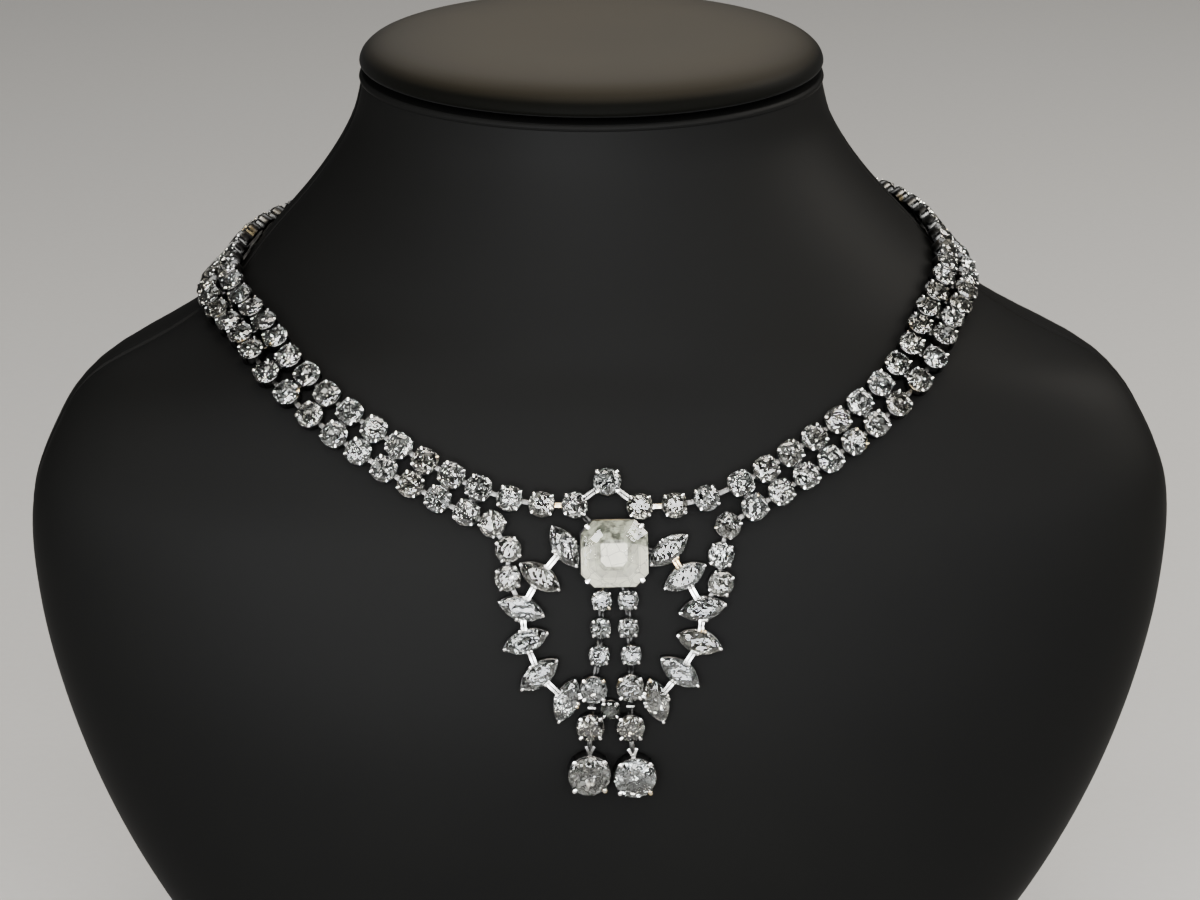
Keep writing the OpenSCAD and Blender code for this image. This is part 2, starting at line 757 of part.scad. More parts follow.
bust_body();
neck_cap();
pair_settings_left();
pair_settings_right();
pair_stones_left();
pair_stones_right();
single_settings_left();
single_settings_right();
clasp();
centre_setting();
drop_setting_left();
drop_setting_right();
top_stone();
octagon_centre_stone();  // octagon_stone
dark_stone();
for (s = SIDES) {
    for (row = NUMBERED) for (i = [0 : row[1] - 1])
        main_stone(row[0], s[1], i);
    stone_on(drop_frame(s[1])) round_stone(drop_stone_d);
}
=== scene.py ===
"""Looks of a rhinestone necklace on a neck bust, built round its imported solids.

Sizes are worked out in millimetres, in the frame of the solids, and are turned to metres where a
mesh is laid. The bust's form and the rows' path follow the same tables as the solids do.
"""

import logging
import math
import random
from collections.abc import Callable
from dataclasses import dataclass, field
from enum import Enum

import bmesh
import bpy
from mathutils import Matrix, Vector

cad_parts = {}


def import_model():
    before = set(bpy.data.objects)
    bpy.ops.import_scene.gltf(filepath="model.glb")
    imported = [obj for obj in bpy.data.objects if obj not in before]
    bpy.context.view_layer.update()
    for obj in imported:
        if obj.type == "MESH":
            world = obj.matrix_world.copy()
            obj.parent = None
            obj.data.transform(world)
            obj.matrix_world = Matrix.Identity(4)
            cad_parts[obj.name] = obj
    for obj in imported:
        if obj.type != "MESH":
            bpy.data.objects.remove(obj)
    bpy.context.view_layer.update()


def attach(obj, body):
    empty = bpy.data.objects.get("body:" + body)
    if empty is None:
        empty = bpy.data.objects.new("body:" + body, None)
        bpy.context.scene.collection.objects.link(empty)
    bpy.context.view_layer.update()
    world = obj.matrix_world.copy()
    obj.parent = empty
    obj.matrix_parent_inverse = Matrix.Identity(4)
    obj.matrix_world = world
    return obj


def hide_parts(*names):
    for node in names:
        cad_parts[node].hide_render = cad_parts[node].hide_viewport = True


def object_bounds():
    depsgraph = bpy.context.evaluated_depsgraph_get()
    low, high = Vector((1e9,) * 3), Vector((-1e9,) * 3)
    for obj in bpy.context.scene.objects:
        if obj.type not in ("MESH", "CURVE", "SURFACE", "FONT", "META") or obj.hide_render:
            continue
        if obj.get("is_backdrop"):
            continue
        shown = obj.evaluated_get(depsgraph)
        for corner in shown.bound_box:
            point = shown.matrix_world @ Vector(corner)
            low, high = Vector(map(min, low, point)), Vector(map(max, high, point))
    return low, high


MM = 0.001
ROOT = "root"
# Corners nearer than this are one, in millimetres
MERGE = 1e-4
# A wave texture repeats about every third of a unit at scale 1
WAVE_REPEAT = 0.314
# Value that a noise texture wavers round
NOISE_MIDDLE = 0.5

log = logging.getLogger("necklace")

Row = tuple[float, ...]
Inputs = dict[str | int, object]


class Side(Enum):
    """Left or right half of the necklace, as the front is looked at."""

    LEFT = -1
    RIGHT = 1

    @property
    def word(self) -> str:
        """Name of the side, as it stands in the nodes' names."""
        return self.name.lower()


class Line(Enum):
    """Upper or lower line of the double row."""

    UPPER = 1
    LOWER = -1


# ---- Form of the bust, and seats on it


def smooth_row(table: tuple[Row, ...], key: float) -> list[float]:
    """Row of a table at any key, smooth through all its rows.

    Args:
        table: Rows whose first column is the key, in rising order.
        key: Where the row is wanted.

    Returns:
        All columns at that key.
    """
    k = min(max(key, table[0][0]), table[-1][0])
    i = max(j for j in range(len(table) - 1) if j == 0 or table[j][0] <= k)

    def slope(j: int) -> list[float]:
        """Slope of each column through the rows beside row j.

        Args:
            j: Number of the row.

        Returns:
            The slopes.
        """
        a, b = max(j - 1, 0), min(j + 1, len(table) - 1)
        run = table[b][0] - table[a][0]
        return [(q - p) / run for p, q in zip(table[a], table[b])]

    step = table[i + 1][0] - table[i][0]
    t = (k - table[i][0]) / step
    parts = (
        2 * t**3 - 3 * t**2 + 1,
        (t**3 - 2 * t**2 + t) * step,
        3 * t**2 - 2 * t**3,
        (t**3 - t**2) * step,
    )
    columns = zip(table[i], slope(i), table[i + 1], slope(i + 1))
    return [sum(p * c for p, c in zip(parts, column)) for column in columns]


def look_up(pairs: list[tuple[float, float]], key: float) -> float:
    """Straight-line value between the two pairs round a key.

    Args:
        pairs: Key and value, with the keys rising.
        key: Where the value is wanted.

    Returns:
        The value there.
    """
    for (a, va), (b, vb) in zip(pairs, pairs[1:]):
        if key <= b:
            return va + (vb - va) * (key - a) / (b - a)
    return pairs[-1][1]


@dataclass(frozen=True)
class Seat:
    """A place on the bust with three directions: along, across and out of its surface."""

    place: Vector
    along: Vector
    across: Vector
    out: Vector

    def at(self, x: float, y: float, z: float = 0.0) -> Vector:
        """Point at distances along the three directions."""
        return self.place + x * self.along + y * self.across + z * self.out

    def moved(self, place: Vector) -> "Seat":
        """The same directions at another place."""
        return Seat(place, self.along, self.across, self.out)

    def bearing(self, point: Vector) -> float:
        """Angle in the seat's plane towards a point, in radians."""
        step = point - self.place
        return math.atan2(step.dot(self.across), step.dot(self.along))

    def rise(self, point: Vector) -> float:
        """Angle out of the seat's plane towards a point, in radians."""
        step = point - self.place
        return math.asin(step.dot(self.out) / step.length)

    def matrix(self, turn: float = 0.0, rise: float = 0.0) -> Matrix:
        """Matrix that lays a mesh in millimetres on the seat, in metres.

        Args:
            turn: Turn in the seat's plane, in radians.
            rise: Lift of the mesh's own X out of the plane, in radians.

        Returns:
            The matrix.
        """
        columns = Matrix((self.along, self.across, self.out)).transposed().to_4x4()
        spin = Matrix.Rotation(turn, 4, "Z") @ Matrix.Rotation(-rise, 4, "Y")
        return Matrix.Scale(MM, 4) @ Matrix.Translation(self.place) @ columns @ spin


@dataclass(frozen=True)
class BustForm:
    """Outer form of the bust, in millimetres.

    Each row holds height, half width, depth of the widest line, front depth, back depth and
    squareness of one level section.
    """

    rows: tuple[Row, ...] = (
        (0, 60.0, -16, 34.0, 36.0, 2.3),
        (20, 74.0, -22, 36.0, 44.0, 2.3),
        (40, 86.5, -26, 38.0, 50.0, 2.3),
        (60, 96.0, -29, 39.0, 55.0, 2.3),
        (80, 103.0, -30, 39.5, 59.0, 2.3),
        (100, 107.5, -30, 38.0, 62.0, 2.25),
        (118, 108.5, -28, 36.5, 64.0, 2.2),
        (130, 104.5, -25, 34.5, 64.0, 2.1),
        (140, 97.0, -20, 34.5, 62.0, 2.1),
        (147, 82.0, -14, 36.0, 59.0, 2.25),
        (153, 72.0, -8, 39.0, 55.0, 2.05),
        (162, 63.5, -1, 41.5, 50.0, 2.0),
        (172, 54.0, 4, 42.0, 46.0, 2.0),
        (182, 47.0, 7, 41.5, 42.5, 2.0),
        (190, 44.5, 8, 41.5, 41.0, 2.0),
    )
    # The neck's top slants down to the front: where the slant starts, the depth that keeps its
    # height there, and the rise for each millimetre towards the back
    slant_from: float = 172.0
    slant_pivot: float = -30.0
    neck_slant: float = 0.05
    # What lies on the bust stays this far off it, over all points within a reach
    seat_gap: float = 0.3
    under_reach: float = 2.5
    # Small step, in millimetres, over which a slope is measured
    slope_step: float = 0.1
    # Turn in degrees over which a walk measures the surface, wide enough to even out the side seam
    walk_turn: float = 3.0

    @property
    def height(self) -> float:
        """Height of the neck's rim."""
        return self.rows[-1][0]

    def skin(self, angle: float, z: float, inset: float = 0.0) -> Vector:
        """Point on the body at an angle in degrees, where 0 is the front and 90 the right.

        Args:
            angle: Angle round the body, in degrees.
            z: Height.
            inset: How far inside the surface.

        Returns:
            The point.
        """
        _, half, seam, front, back, square = smooth_row(self.rows, z)
        s, c = math.sin(math.radians(angle)), math.cos(math.radians(angle))
        depth = front if c > 0 else back
        power = 2 / square
        x = (half - inset) * math.copysign(abs(s) ** power, s)
        y = seam - (depth - inset) * math.copysign(abs(c) ** power, c)
        return Vector((x, y, z))

    def slanted(self, p: Vector) -> Vector:
        """The point, moved by the slant of the neck's top."""
        share = min(max((p.z - self.slant_from) / (self.height - self.slant_from), 0.0), 1.0)
        return p + Vector((0, 0, self.neck_slant * share**2 * (p.y - self.slant_pivot)))

    @property
    def slant(self) -> Matrix:
        """Matrix of the whole slant, as it is at the neck's rim and above.

        Returns:
            The matrix.
        """
        matrix = Matrix.Identity(4)
        matrix[2][1] = self.neck_slant
        matrix[2][3] = -self.neck_slant * self.slant_pivot
        return matrix

    def chest(self, x: float, z: float) -> Vector:
        """Point on the front of the body at x and height z.

        Args:
            x: Place across.
            z: Height.

        Returns:
            The point.
        """
        _, half, seam, front, _, square = smooth_row(self.rows, z)
        share = abs(x) / half
        return Vector((x, seam - front * (1 - share**square) ** (1 / square), z))

    def seat(self, x: float, z: float) -> Seat:
        """Seat on the chest at x and height z, clear of the surface round it.

        Args:
            x: Place across.
            z: Height.

        Returns:
            The seat.
        """
        d = self.slope_step
        along = (self.chest(x + d, z) - self.chest(x - d, z)).normalized()
        rise = self.chest(x, z + d) - self.chest(x, z - d)
        out = along.cross(rise).normalized()
        around = (-self.under_reach, 0, self.under_reach)
        under = [self.chest(x + dx, z + dz) for dx in around for dz in around]
        return self.raised(Seat(self.chest(x, z), along, out.cross(along), out), under)

    def raised(self, seat: Seat, under: list[Vector]) -> Seat:
        """The seat, lifted clear of the highest of the points under it."""
        top = max((p - seat.place).dot(seat.out) for p in under)
        return seat.moved(seat.place + (top + self.seat_gap) * seat.out)

    def walked(self, at: tuple[float, float], move: Vector) -> tuple[float, float]:
        """Angle and height that a small move along the surface leads to.

        Args:
            at: Angle in degrees and height.
            move: The move, in millimetres.

        Returns:
            The new angle and height.
        """
        d = self.slope_step
        p = self.skin(*at)
        turn = self.walk_turn
        du = (self.skin(at[0] + turn, at[1]) - self.skin(at[0] - turn, at[1])) / (2 * turn)
        dv = (self.skin(at[0], at[1] + d) - p) / d
        uu, vv, uv = du.dot(du), dv.dot(dv), du.dot(dv)
        mu, mv = move.dot(du), move.dot(dv)
        area = uu * vv - uv**2
        return at[0] + (vv * mu - uv * mv) / area, at[1] + (uu * mv - uv * mu) / area


@dataclass(frozen=True)
class RowPath:
    """Path of the double row on one side, with a seat for each pair of stones."""

    form: BustForm
    side: Side
    # Angle from the front in degrees, and height of the upper line on the left and on the right
    heights: tuple[Row, ...] = (
        (0, 124.2, 124.2),
        (8, 125.0, 125.2),
        (12, 127.3, 127.8),
        (20, 133.3, 134.3),
        (28, 139.4, 140.4),
        (36, 144.1, 145.0),
        (45, 147.6, 148.7),
        (56, 150.9, 152.3),
        (70, 153.5, 156.0),
        (88, 156.1, 160.2),
        (108, 157.9, 162.4),
        (130, 159.8, 163.1),
        (155, 161.2, 162.9),
        (180, 162.2, 162.2),
    )
    # Angle of the first pair on the left and on the right, and the last pair's distance from the
    # middle of the back
    first_angles: tuple[float, float] = (12.3, 11.7)
    clasp_reach: float = 8.4
    pairs: int = 32
    row_gap: float = 5.1
    half_w: float = 2.45

    def height(self, angle: float) -> float:
        """Height of the upper line at an angle round the neck."""
        return smooth_row(self.heights, angle)[1 if self.side is Side.LEFT else 2]

    def point(self, angle: float) -> Vector:
        """Point of the upper line on the surface."""
        return self.form.skin(self.side.value * angle, self.height(angle))

    def lengths(self) -> list[tuple[float, float]]:
        """Length of the path up to each degree, as pairs of length and angle.

        Returns:
            The pairs, one for each degree.
        """
        rows, length = [], 0.0
        for angle in range(181):
            rows.append((length, float(angle)))
            length += (self.point(angle + 1) - self.point(angle)).length
        return rows

    def seats(self) -> list[Seat]:
        """Seat in the middle of each pair, from the front round to the back.

        Returns:
            The seats.
        """
        table = self.lengths()
        first_angle = self.first_angles[0 if self.side is Side.LEFT else 1]
        first = look_up([(a, s) for s, a in table], first_angle)
        end = table[-1][0] - self.clasp_reach
        steps = [first + (end - first) * k / (self.pairs - 1) for k in range(self.pairs)]
        return [self.seat(look_up(table, s)) for s in steps]

    def seat(self, angle: float) -> Seat:
        """Seat in the middle of the pair at an angle; along runs away from the front.

        Args:
            angle: Angle round the neck, in degrees.

        Returns:
            The seat, clear of the surface under the pair.
        """
        form, sign, d = self.form, self.side.value, self.form.slope_step
        at = (sign * angle, self.height(angle))
        upper = form.skin(*at)
        ahead = (self.point(angle + 1) - self.point(angle - 1)).normalized()
        rise = form.skin(at[0], at[1] + d) - upper
        skin = (sign * ahead.cross(rise)).normalized()
        down = (sign * ahead.cross(skin)).normalized()
        lower = form.skin(*form.walked(at, down * self.row_gap))
        across = sign * (upper - lower).normalized()
        out = ahead.cross(across).normalized()
        along = across.cross(out)
        mid_at = form.walked(at, down * self.row_gap / 2)
        half_l = self.half_w + self.row_gap / 2
        under = [
            form.skin(*form.walked(mid_at, u * along + v * across))
            for u in (-self.half_w, 0, self.half_w)
            for v in (-half_l, 0, half_l)
        ]
        return form.raised(Seat((upper + lower) / 2, along, across, out), under)

    def offset(self, line: Line) -> float:
        """Where a line lies across the pair's seat."""
        return line.value * self.side.value * self.row_gap / 2


# ---- Node trees


def srgb(code: str) -> tuple[float, float, float, float]:
    """Linear colour of an sRGB hex code such as #c0c0c0.

    Args:
        code: The hex code.

    Returns:
        Its linear red, green and blue, and 1.
    """
    parts = [int(code[i : i + 2], 16) / 255 for i in (1, 3, 5)]
    linear = [p / 12.92 if p <= 0.04045 else ((p + 0.055) / 1.055) ** 2.4 for p in parts]
    return (linear[0], linear[1], linear[2], 1.0)


def add_node(
    tree: bpy.types.NodeTree, kind: str, inputs: Inputs | None = None, **settings: object
) -> bpy.types.Node:
    """Adds a node with its settings, values and links.

    Args:
        tree: The tree that the node goes into.
        kind: The node's type.
        inputs: Socket name or number, and its value or the socket that feeds it.
        **settings: The node's own settings.

    Returns:
        The node.
    """
    node = tree.nodes.new(kind)
    for name, value in settings.items():
        setattr(node, name, value)
    for name, value in (inputs or {}).items():
        socket = node.inputs[name]
        if isinstance(value, bpy.types.NodeSocket):
            tree.links.new(value, socket)
        else:
            socket.default_value = value
    return node


def blank_material(name: str) -> tuple[bpy.types.Material, bpy.types.NodeTree]:
    """New material with an empty node tree.

    Args:
        name: Its name.

    Returns:
        The material and its node tree.
    """
    material = bpy.data.materials.new(name)
    material.use_nodes = True
    material.node_tree.nodes.clear()
    return material, material.node_tree


def end_with(tree: bpy.types.NodeTree, shader: bpy.types.Node) -> None:
    """Joins a shader to the material's output."""
    add_node(tree, "ShaderNodeOutputMaterial", {"Surface": shader.outputs[0]})


# ---- Finishes


@dataclass(frozen=True)
class BlackLeatherette:
    """Smooth black leatherette, drawn tight over the bust: deep black with a wide soft sheen."""

    name: str = "black_leatherette"
    colour: str = "#070707"
    pale: str = "#0b0b0a"
    # Pores of the coat are about 0.3 mm apart; drawn at 0.7 mm so that they show at all
    pore_mm: float = 0.7
    pore_depth_mm: float = 0.05
    pore_strength: float = 0.05
    cloud_mm: float = 60.0
    roughness: tuple[float, float] = (0.5, 0.6)
    specular: float = 0.03

    def material(self) -> bpy.types.Material:
        """Builds the material: cloudy black, with fine pores in the bump.

        Returns:
            The material.
        """
        material, tree = blank_material(self.name)
        coords = add_node(tree, "ShaderNodeTexCoord").outputs["Object"]
        cloud = add_node(
            tree,
            "ShaderNodeTexNoise",
            {"Vector": coords, "Scale": 1 / (self.cloud_mm * MM), "Detail": 3.0},
        ).outputs["Fac"]
        pores = add_node(
            tree, "ShaderNodeTexVoronoi", {"Vector": coords, "Scale": 1 / (self.pore_mm * MM)}
        ).outputs["Distance"]
        tone = add_node(
            tree,
            "ShaderNodeMix",
            {0: cloud, 6: srgb(self.colour), 7: srgb(self.pale)},
            data_type="RGBA",
        ).outputs[2]
        rough = add_node(
            tree,
            "ShaderNodeMapRange",
            {"Value": cloud, "To Min": self.roughness[0], "To Max": self.roughness[1]},
        ).outputs["Result"]
        bump = add_node(
            tree,
            "ShaderNodeBump",
            {"Height": pores, "Strength": self.pore_strength, "Distance": self.pore_depth_mm * MM},
        ).outputs["Normal"]
        shader = add_node(
            tree,
            "ShaderNodeBsdfPrincipled",
            {
                "Base Color": tone,
                "Roughness": rough,
                "Normal": bump,
                "Specular IOR Level": self.specular,
            },
        )
        end_with(tree, shader)
        return material


@dataclass(frozen=True)
class SatinPad:
    """Warm grey-brown satin cloth over the neck's pad: a soft bloom where light grazes it, and
    painted shade on its edge.
    """

    name: str = "warm_grey_satin"
    colour: str = "#262117"
    worn: str = "#1f1c15"
    # The near-black edge colour is painted shade, laid on the pad's rim
    edge: str = "#040403"
    # Satin threads are about 0.15 mm apart; drawn at 0.6 mm so that they show at all
    thread_mm: float = 0.6
    thread_depth_mm: float = 0.04
    thread_strength: float = 0.04
    thread_wander: float = 0.6
    cloud_mm: float = 35.0
    roughness: float = 0.5
    # Specular level at the edge and on the top
    specular: tuple[float, float] = (0.01, 0.08)
    sheen: float = 0.01

    def material(self) -> bpy.types.Material:
        """Builds the material: faint threads, and painted shade from the dark edge to the pale top.

        Returns:
            The material.
        """
        material, tree = blank_material(self.name)
        coords = add_node(tree, "ShaderNodeTexCoord").outputs["Object"]
        cloud = add_node(
            tree,
            "ShaderNodeTexNoise",
            {"Vector": coords, "Scale": 1 / (self.cloud_mm * MM), "Detail": 2.0},
        ).outputs["Fac"]
        thread = add_node(
            tree,
            "ShaderNodeTexWave",
            {
                "Vector": coords,
                "Scale": WAVE_REPEAT / (self.thread_mm * MM),
                "Distortion": self.thread_wander,
                "Detail": 1.0,
            },
            bands_direction="Y",
        ).outputs["Fac"]
        top = add_node(
            tree,
            "ShaderNodeMix",
            {0: cloud, 6: srgb(self.worn), 7: srgb(self.colour)},
            data_type="RGBA",
        ).outputs[2]
        # The shine attribute is painted light: at 0 it paints shade on the edge, at 1 it leaves the
        # top pale
        painted_light = add_node(tree, "ShaderNodeAttribute", attribute_name="shine").outputs["Fac"]
        gloss = add_node(
            tree,
            "ShaderNodeMapRange",
            {"Value": painted_light, "To Min": self.specular[0], "To Max": self.specular[1]},
        ).outputs["Result"]
        tone = add_node(
            tree, "ShaderNodeMix", {0: painted_light, 6: srgb(self.edge), 7: top}, data_type="RGBA"
        ).outputs[2]
        bump = add_node(
            tree,
            "ShaderNodeBump",
            {
                "Height": thread,
                "Strength": self.thread_strength,
                "Distance": self.thread_depth_mm * MM,
            },
        ).outputs["Normal"]
        shader = add_node(
            tree,
            "ShaderNodeBsdfPrincipled",
            {
                "Base Color": tone,
                "Roughness": self.roughness,
                "Normal": bump,
                "Specular IOR Level": gloss,
                "Sheen Weight": self.sheen,
            },
        )
        end_with(tree, shader)
        return material


@dataclass(frozen=True)
class SilverPlate:
    """Silver-plated brass, tumbled bright: claws and rims shine, recesses go near black with
    tarnish and painted shade.
    """

    name: str = "silver_plate"
    bright: str = "#d2d1cd"
    # Near black of recesses and of parts between stones: tarnish and painted shade
    tarnish_and_shade: str = "#070707"
    brass: str = "#c2ad80"
    # The dark of tarnish and painted shade wanders over about a millimetre, by this much of the
    # shine
    wear_mm: float = 1.2
    wear_reach: float = 0.35
    # Bare spots lie about 5 mm apart, and start and end at these values of their noise
    brass_mm: float = 5.0
    brass_range: tuple[float, float] = (0.6, 0.68)
    roughness: tuple[float, float] = (0.14, 0.3)

    def material(self) -> bpy.types.Material:
        """Builds the material: the shine attribute runs from tarnish and painted shade up to bright
        metal.

        Returns:
            The material.
        """
        material, tree = blank_material(self.name)
        coords = add_node(tree, "ShaderNodeTexCoord").outputs["Object"]
        wear = add_node(
            tree,
            "ShaderNodeTexNoise",
            {"Vector": coords, "Scale": 1 / (self.wear_mm * MM), "Detail": 3.0},
        ).outputs["Fac"]
        shine = add_node(tree, "ShaderNodeAttribute", attribute_name="shine").outputs["Fac"]
        # Noise wavers the shine attribute; where it is low the metal takes tarnish and painted
        # shade
        spread = add_node(
            tree, "ShaderNodeMath", {0: wear, 1: -NOISE_MIDDLE}, operation="ADD"
        ).outputs[0]
        mixed = add_node(
            tree,
            "ShaderNodeMath",
            {0: spread, 1: self.wear_reach, 2: shine},
            operation="MULTIPLY_ADD",
            use_clamp=True,
        ).outputs[0]
        # Brass shows through in small spots where the plating has worn off
        spots = add_node(
            tree,
            "ShaderNodeTexNoise",
            {"Vector": coords, "Scale": 1 / (self.brass_mm * MM), "Detail": 4.0},
        ).outputs["Fac"]
        bare = add_node(
            tree,
            "ShaderNodeMapRange",
            {"Value": spots, "From Min": self.brass_range[0], "From Max": self.brass_range[1]},
        )
        metal = add_node(
            tree,
            "ShaderNodeMix",
            {0: bare.outputs["Result"], 6: srgb(self.bright), 7: srgb(self.brass)},
            data_type="RGBA",
        ).outputs[2]
        tone = add_node(
            tree, "ShaderNodeMix", {0: mixed, 6: srgb(self.tarnish_and_shade), 7: metal}, data_type="RGBA"
        ).outputs[2]
        rough = add_node(
            tree,
            "ShaderNodeMapRange",
            {"Value": mixed, "To Min": self.roughness[1], "To Max": self.roughness[0]},
        ).outputs["Result"]
        shader = add_node(
            tree,
            "ShaderNodeBsdfPrincipled",
            {"Base Color": tone, "Metallic": 1.0, "Roughness": rough},
        )
        end_with(tree, shader)
        return material


@dataclass(frozen=True)
class LeadGlass:
    """Cut lead glass: clear and heavy, so that each facet bends what lies behind it."""

    name: str
    cool: str = "#f4f8f8"
    warm: str = "#fbf6ec"
    ior: float = 1.57
    roughness: float = 0.0
    # Pressed facets are a little wavy: distance of the waves and their depth
    wave_mm: float = 1.2
    wave_depth_mm: float = 0.06

    def material(self) -> bpy.types.Material:
        """Builds the material: each stone has its own faint tint, from its tint attribute.

        Returns:
            The material.
        """
        material, tree = blank_material(self.name)
        coords = add_node(tree, "ShaderNodeTexCoord").outputs["Object"]
        waves = add_node(
            tree,
            "ShaderNodeTexNoise",
            {"Vector": coords, "Scale": 1 / (self.wave_mm * MM), "Detail": 1.0},
        ).outputs["Fac"]
        bump = add_node(
            tree,
            "ShaderNodeBump",
            {"Height": waves, "Strength": 1.0, "Distance": self.wave_depth_mm * MM},
        ).outputs["Normal"]
        tint = add_node(tree, "ShaderNodeAttribute", attribute_name="tint").outputs["Fac"]
        tone = add_node(
            tree,
            "ShaderNodeMix",
            {0: tint, 6: srgb(self.cool), 7: srgb(self.warm)},
            data_type="RGBA",
        ).outputs[2]
        shader = add_node(
            tree,
            "ShaderNodeBsdfPrincipled",
            {
                "Base Color": tone,
                "Roughness": self.roughness,
                "Normal": bump,
                "IOR": self.ior,
                "Transmission Weight": 1.0,
            },
        )
        end_with(tree, shader)
        return material


@dataclass(frozen=True)
class MirrorFoil:
    """Silvered back of a stone: a mirror coat, which age has dulled on some stones and facets; on
    the octagon its upper part carries painted shade.
    """

    name: str
    bright: str = "#f4f4f1"
    dull: str = "#a3a4a0"
    spent: str = "#464744"
    spent_dark: str = "#1c1d1b"
    crack: str = "#030303"
    mottle_mm: float = 1.4
    mottle_range: tuple[float, float] = (0.4, 0.6)
    # Cracks of such a coat are about 0.4 mm apart; drawn at 1.1 mm so that they show at all
    crack_mm: float = 1.1
    crack_wander_mm: float = 0.7
    # Widths of a crack's black middle and of its whole, as shares of the cracks' distance
    crack_widths: tuple[float, float] = (0.05, 0.1)
    crack_depth: float = 1.0
    roughness: float = 0.01
    metallic: float = 1.0
    # Height above which the whole coat is dark, in millimetres: spent foil on the dark stone,
    # painted shade on the octagon's upper part
    spent_and_shade_above: float = 1000.0
    spent_and_shade_fade: float = 0.15

    def material(self) -> bpy.types.Material:
        """Builds the material: the tint attribute dulls whole stones, and dark single facets; above
        a set height the coat is dark, which on the octagon is painted shade.

        Returns:
            The material.
        """
        material, tree = blank_material(self.name)
        tint = add_node(tree, "ShaderNodeAttribute", attribute_name="tint").outputs["Fac"]
        dark = add_node(tree, "ShaderNodeAttribute", attribute_name="dark").outputs["Fac"]
        coords = add_node(tree, "ShaderNodeTexCoord").outputs["Object"]
        height = add_node(tree, "ShaderNodeSeparateXYZ", {0: coords}).outputs["Z"]
        above = add_node(
            tree,
            "ShaderNodeMapRange",
            {
                "Value": height,
                "From Min": (self.spent_and_shade_above - self.spent_and_shade_fade) * MM,
                "From Max": (self.spent_and_shade_above + self.spent_and_shade_fade) * MM,
            },
        ).outputs["Result"]
        cracks = self.cracks(tree, coords)
        # Lost foil and, above the set height, painted shade darken the coat alike
        gone = add_node(tree, "ShaderNodeMath", {0: dark, 1: above}, operation="MAXIMUM").outputs[0]
        worn = add_node(
            tree, "ShaderNodeMath", {0: gone, 1: cracks}, operation="MAXIMUM"
        ).outputs[0]
        stone = add_node(
            tree,
            "ShaderNodeMix",
            {0: tint, 6: srgb(self.bright), 7: srgb(self.dull)},
            data_type="RGBA",
        ).outputs[2]
        mottle = add_node(
            tree,
            "ShaderNodeTexNoise",
            {"Vector": coords, "Scale": 1 / (self.mottle_mm * MM), "Detail": 3.0},
        ).outputs["Fac"]
        blotch = add_node(
            tree,
            "ShaderNodeMapRange",
            {"Value": mottle, "From Min": self.mottle_range[0], "From Max": self.mottle_range[1]},
        )
        bare = add_node(
            tree,
            "ShaderNodeMix",
            {0: blotch.outputs["Result"], 6: srgb(self.spent_dark), 7: srgb(self.spent)},
            data_type="RGBA",
        ).outputs[2]
        mixed = add_node(
            tree, "ShaderNodeMix", {0: worn, 6: stone, 7: bare}, data_type="RGBA"
        ).outputs[2]
        tone = add_node(
            tree, "ShaderNodeMix", {0: cracks, 6: mixed, 7: srgb(self.crack)}, data_type="RGBA"
        ).outputs[2]
        metal = add_node(
            tree, "ShaderNodeMapRange", {"Value": worn, "To Min": self.metallic, "To Max": 0.0}
        ).outputs["Result"]
        shader = add_node(
            tree,
            "ShaderNodeBsdfPrincipled",
            {"Base Color": tone, "Metallic": metal, "Roughness": self.roughness},
        )
        end_with(tree, shader)
        return material

    def cracks(
        self, tree: bpy.types.NodeTree, coords: bpy.types.NodeSocket
    ) -> bpy.types.NodeSocket:
        """Adds the nodes of the fine wandering cracks.

        Args:
            tree: The material's nodes.
            coords: Object coordinates.

        Returns:
            How cracked the coat is, from 0 to 1.
        """
        wander = add_node(
            tree,
            "ShaderNodeTexNoise",
            {"Vector": coords, "Scale": 1 / (self.crack_mm * MM), "Detail": 1.0},
        ).outputs["Color"]
        reach = (self.crack_wander_mm * MM,) * 3
        bent = add_node(
            tree, "ShaderNodeVectorMath", {0: wander, 1: reach, 2: coords}, operation="MULTIPLY_ADD"
        ).outputs[0]
        edge = add_node(
            tree,
            "ShaderNodeTexVoronoi",
            {"Vector": bent, "Scale": 1 / (self.crack_mm * MM)},
            feature="DISTANCE_TO_EDGE",
        ).outputs["Distance"]
        return add_node(
            tree,
            "ShaderNodeMapRange",
            {
                "Value": edge,
                "From Min": self.crack_widths[0],
                "From Max": self.crack_widths[1],
                "To Min": self.crack_depth,
                "To Max": 0.0,
            },
        ).outputs["Result"]


@dataclass(frozen=True)
class PaleFloor:
    """Matt pale paper that the bust stands on."""

    name: str = "matt_pale_paper"
    colour: str = "#969593"
    fleck: str = "#92918e"
    fleck_mm: float = 2.5
    roughness: float = 0.85

    def material(self) -> bpy.types.Material:
        """Builds the material: plain, with a faint fibre fleck.

        Returns:
            The material.
        """
        material, tree = blank_material(self.name)
        coords = add_node(tree, "ShaderNodeTexCoord").outputs["Object"]
        fleck = add_node(
            tree, "ShaderNodeTexNoise", {"Vector": coords, "Scale": 1 / (self.fleck_mm * MM)}
        ).outputs["Fac"]
        tone = add_node(
            tree,
            "ShaderNodeMix",
            {0: fleck, 6: srgb(self.fleck), 7: srgb(self.colour)},
            data_type="RGBA",
        ).outputs[2]
        shader = add_node(
            tree, "ShaderNodeBsdfPrincipled", {"Base Color": tone, "Roughness": self.roughness}
        )
        end_with(tree, shader)
        return material


# ---- Small meshes, in millimetres, that are laid many times


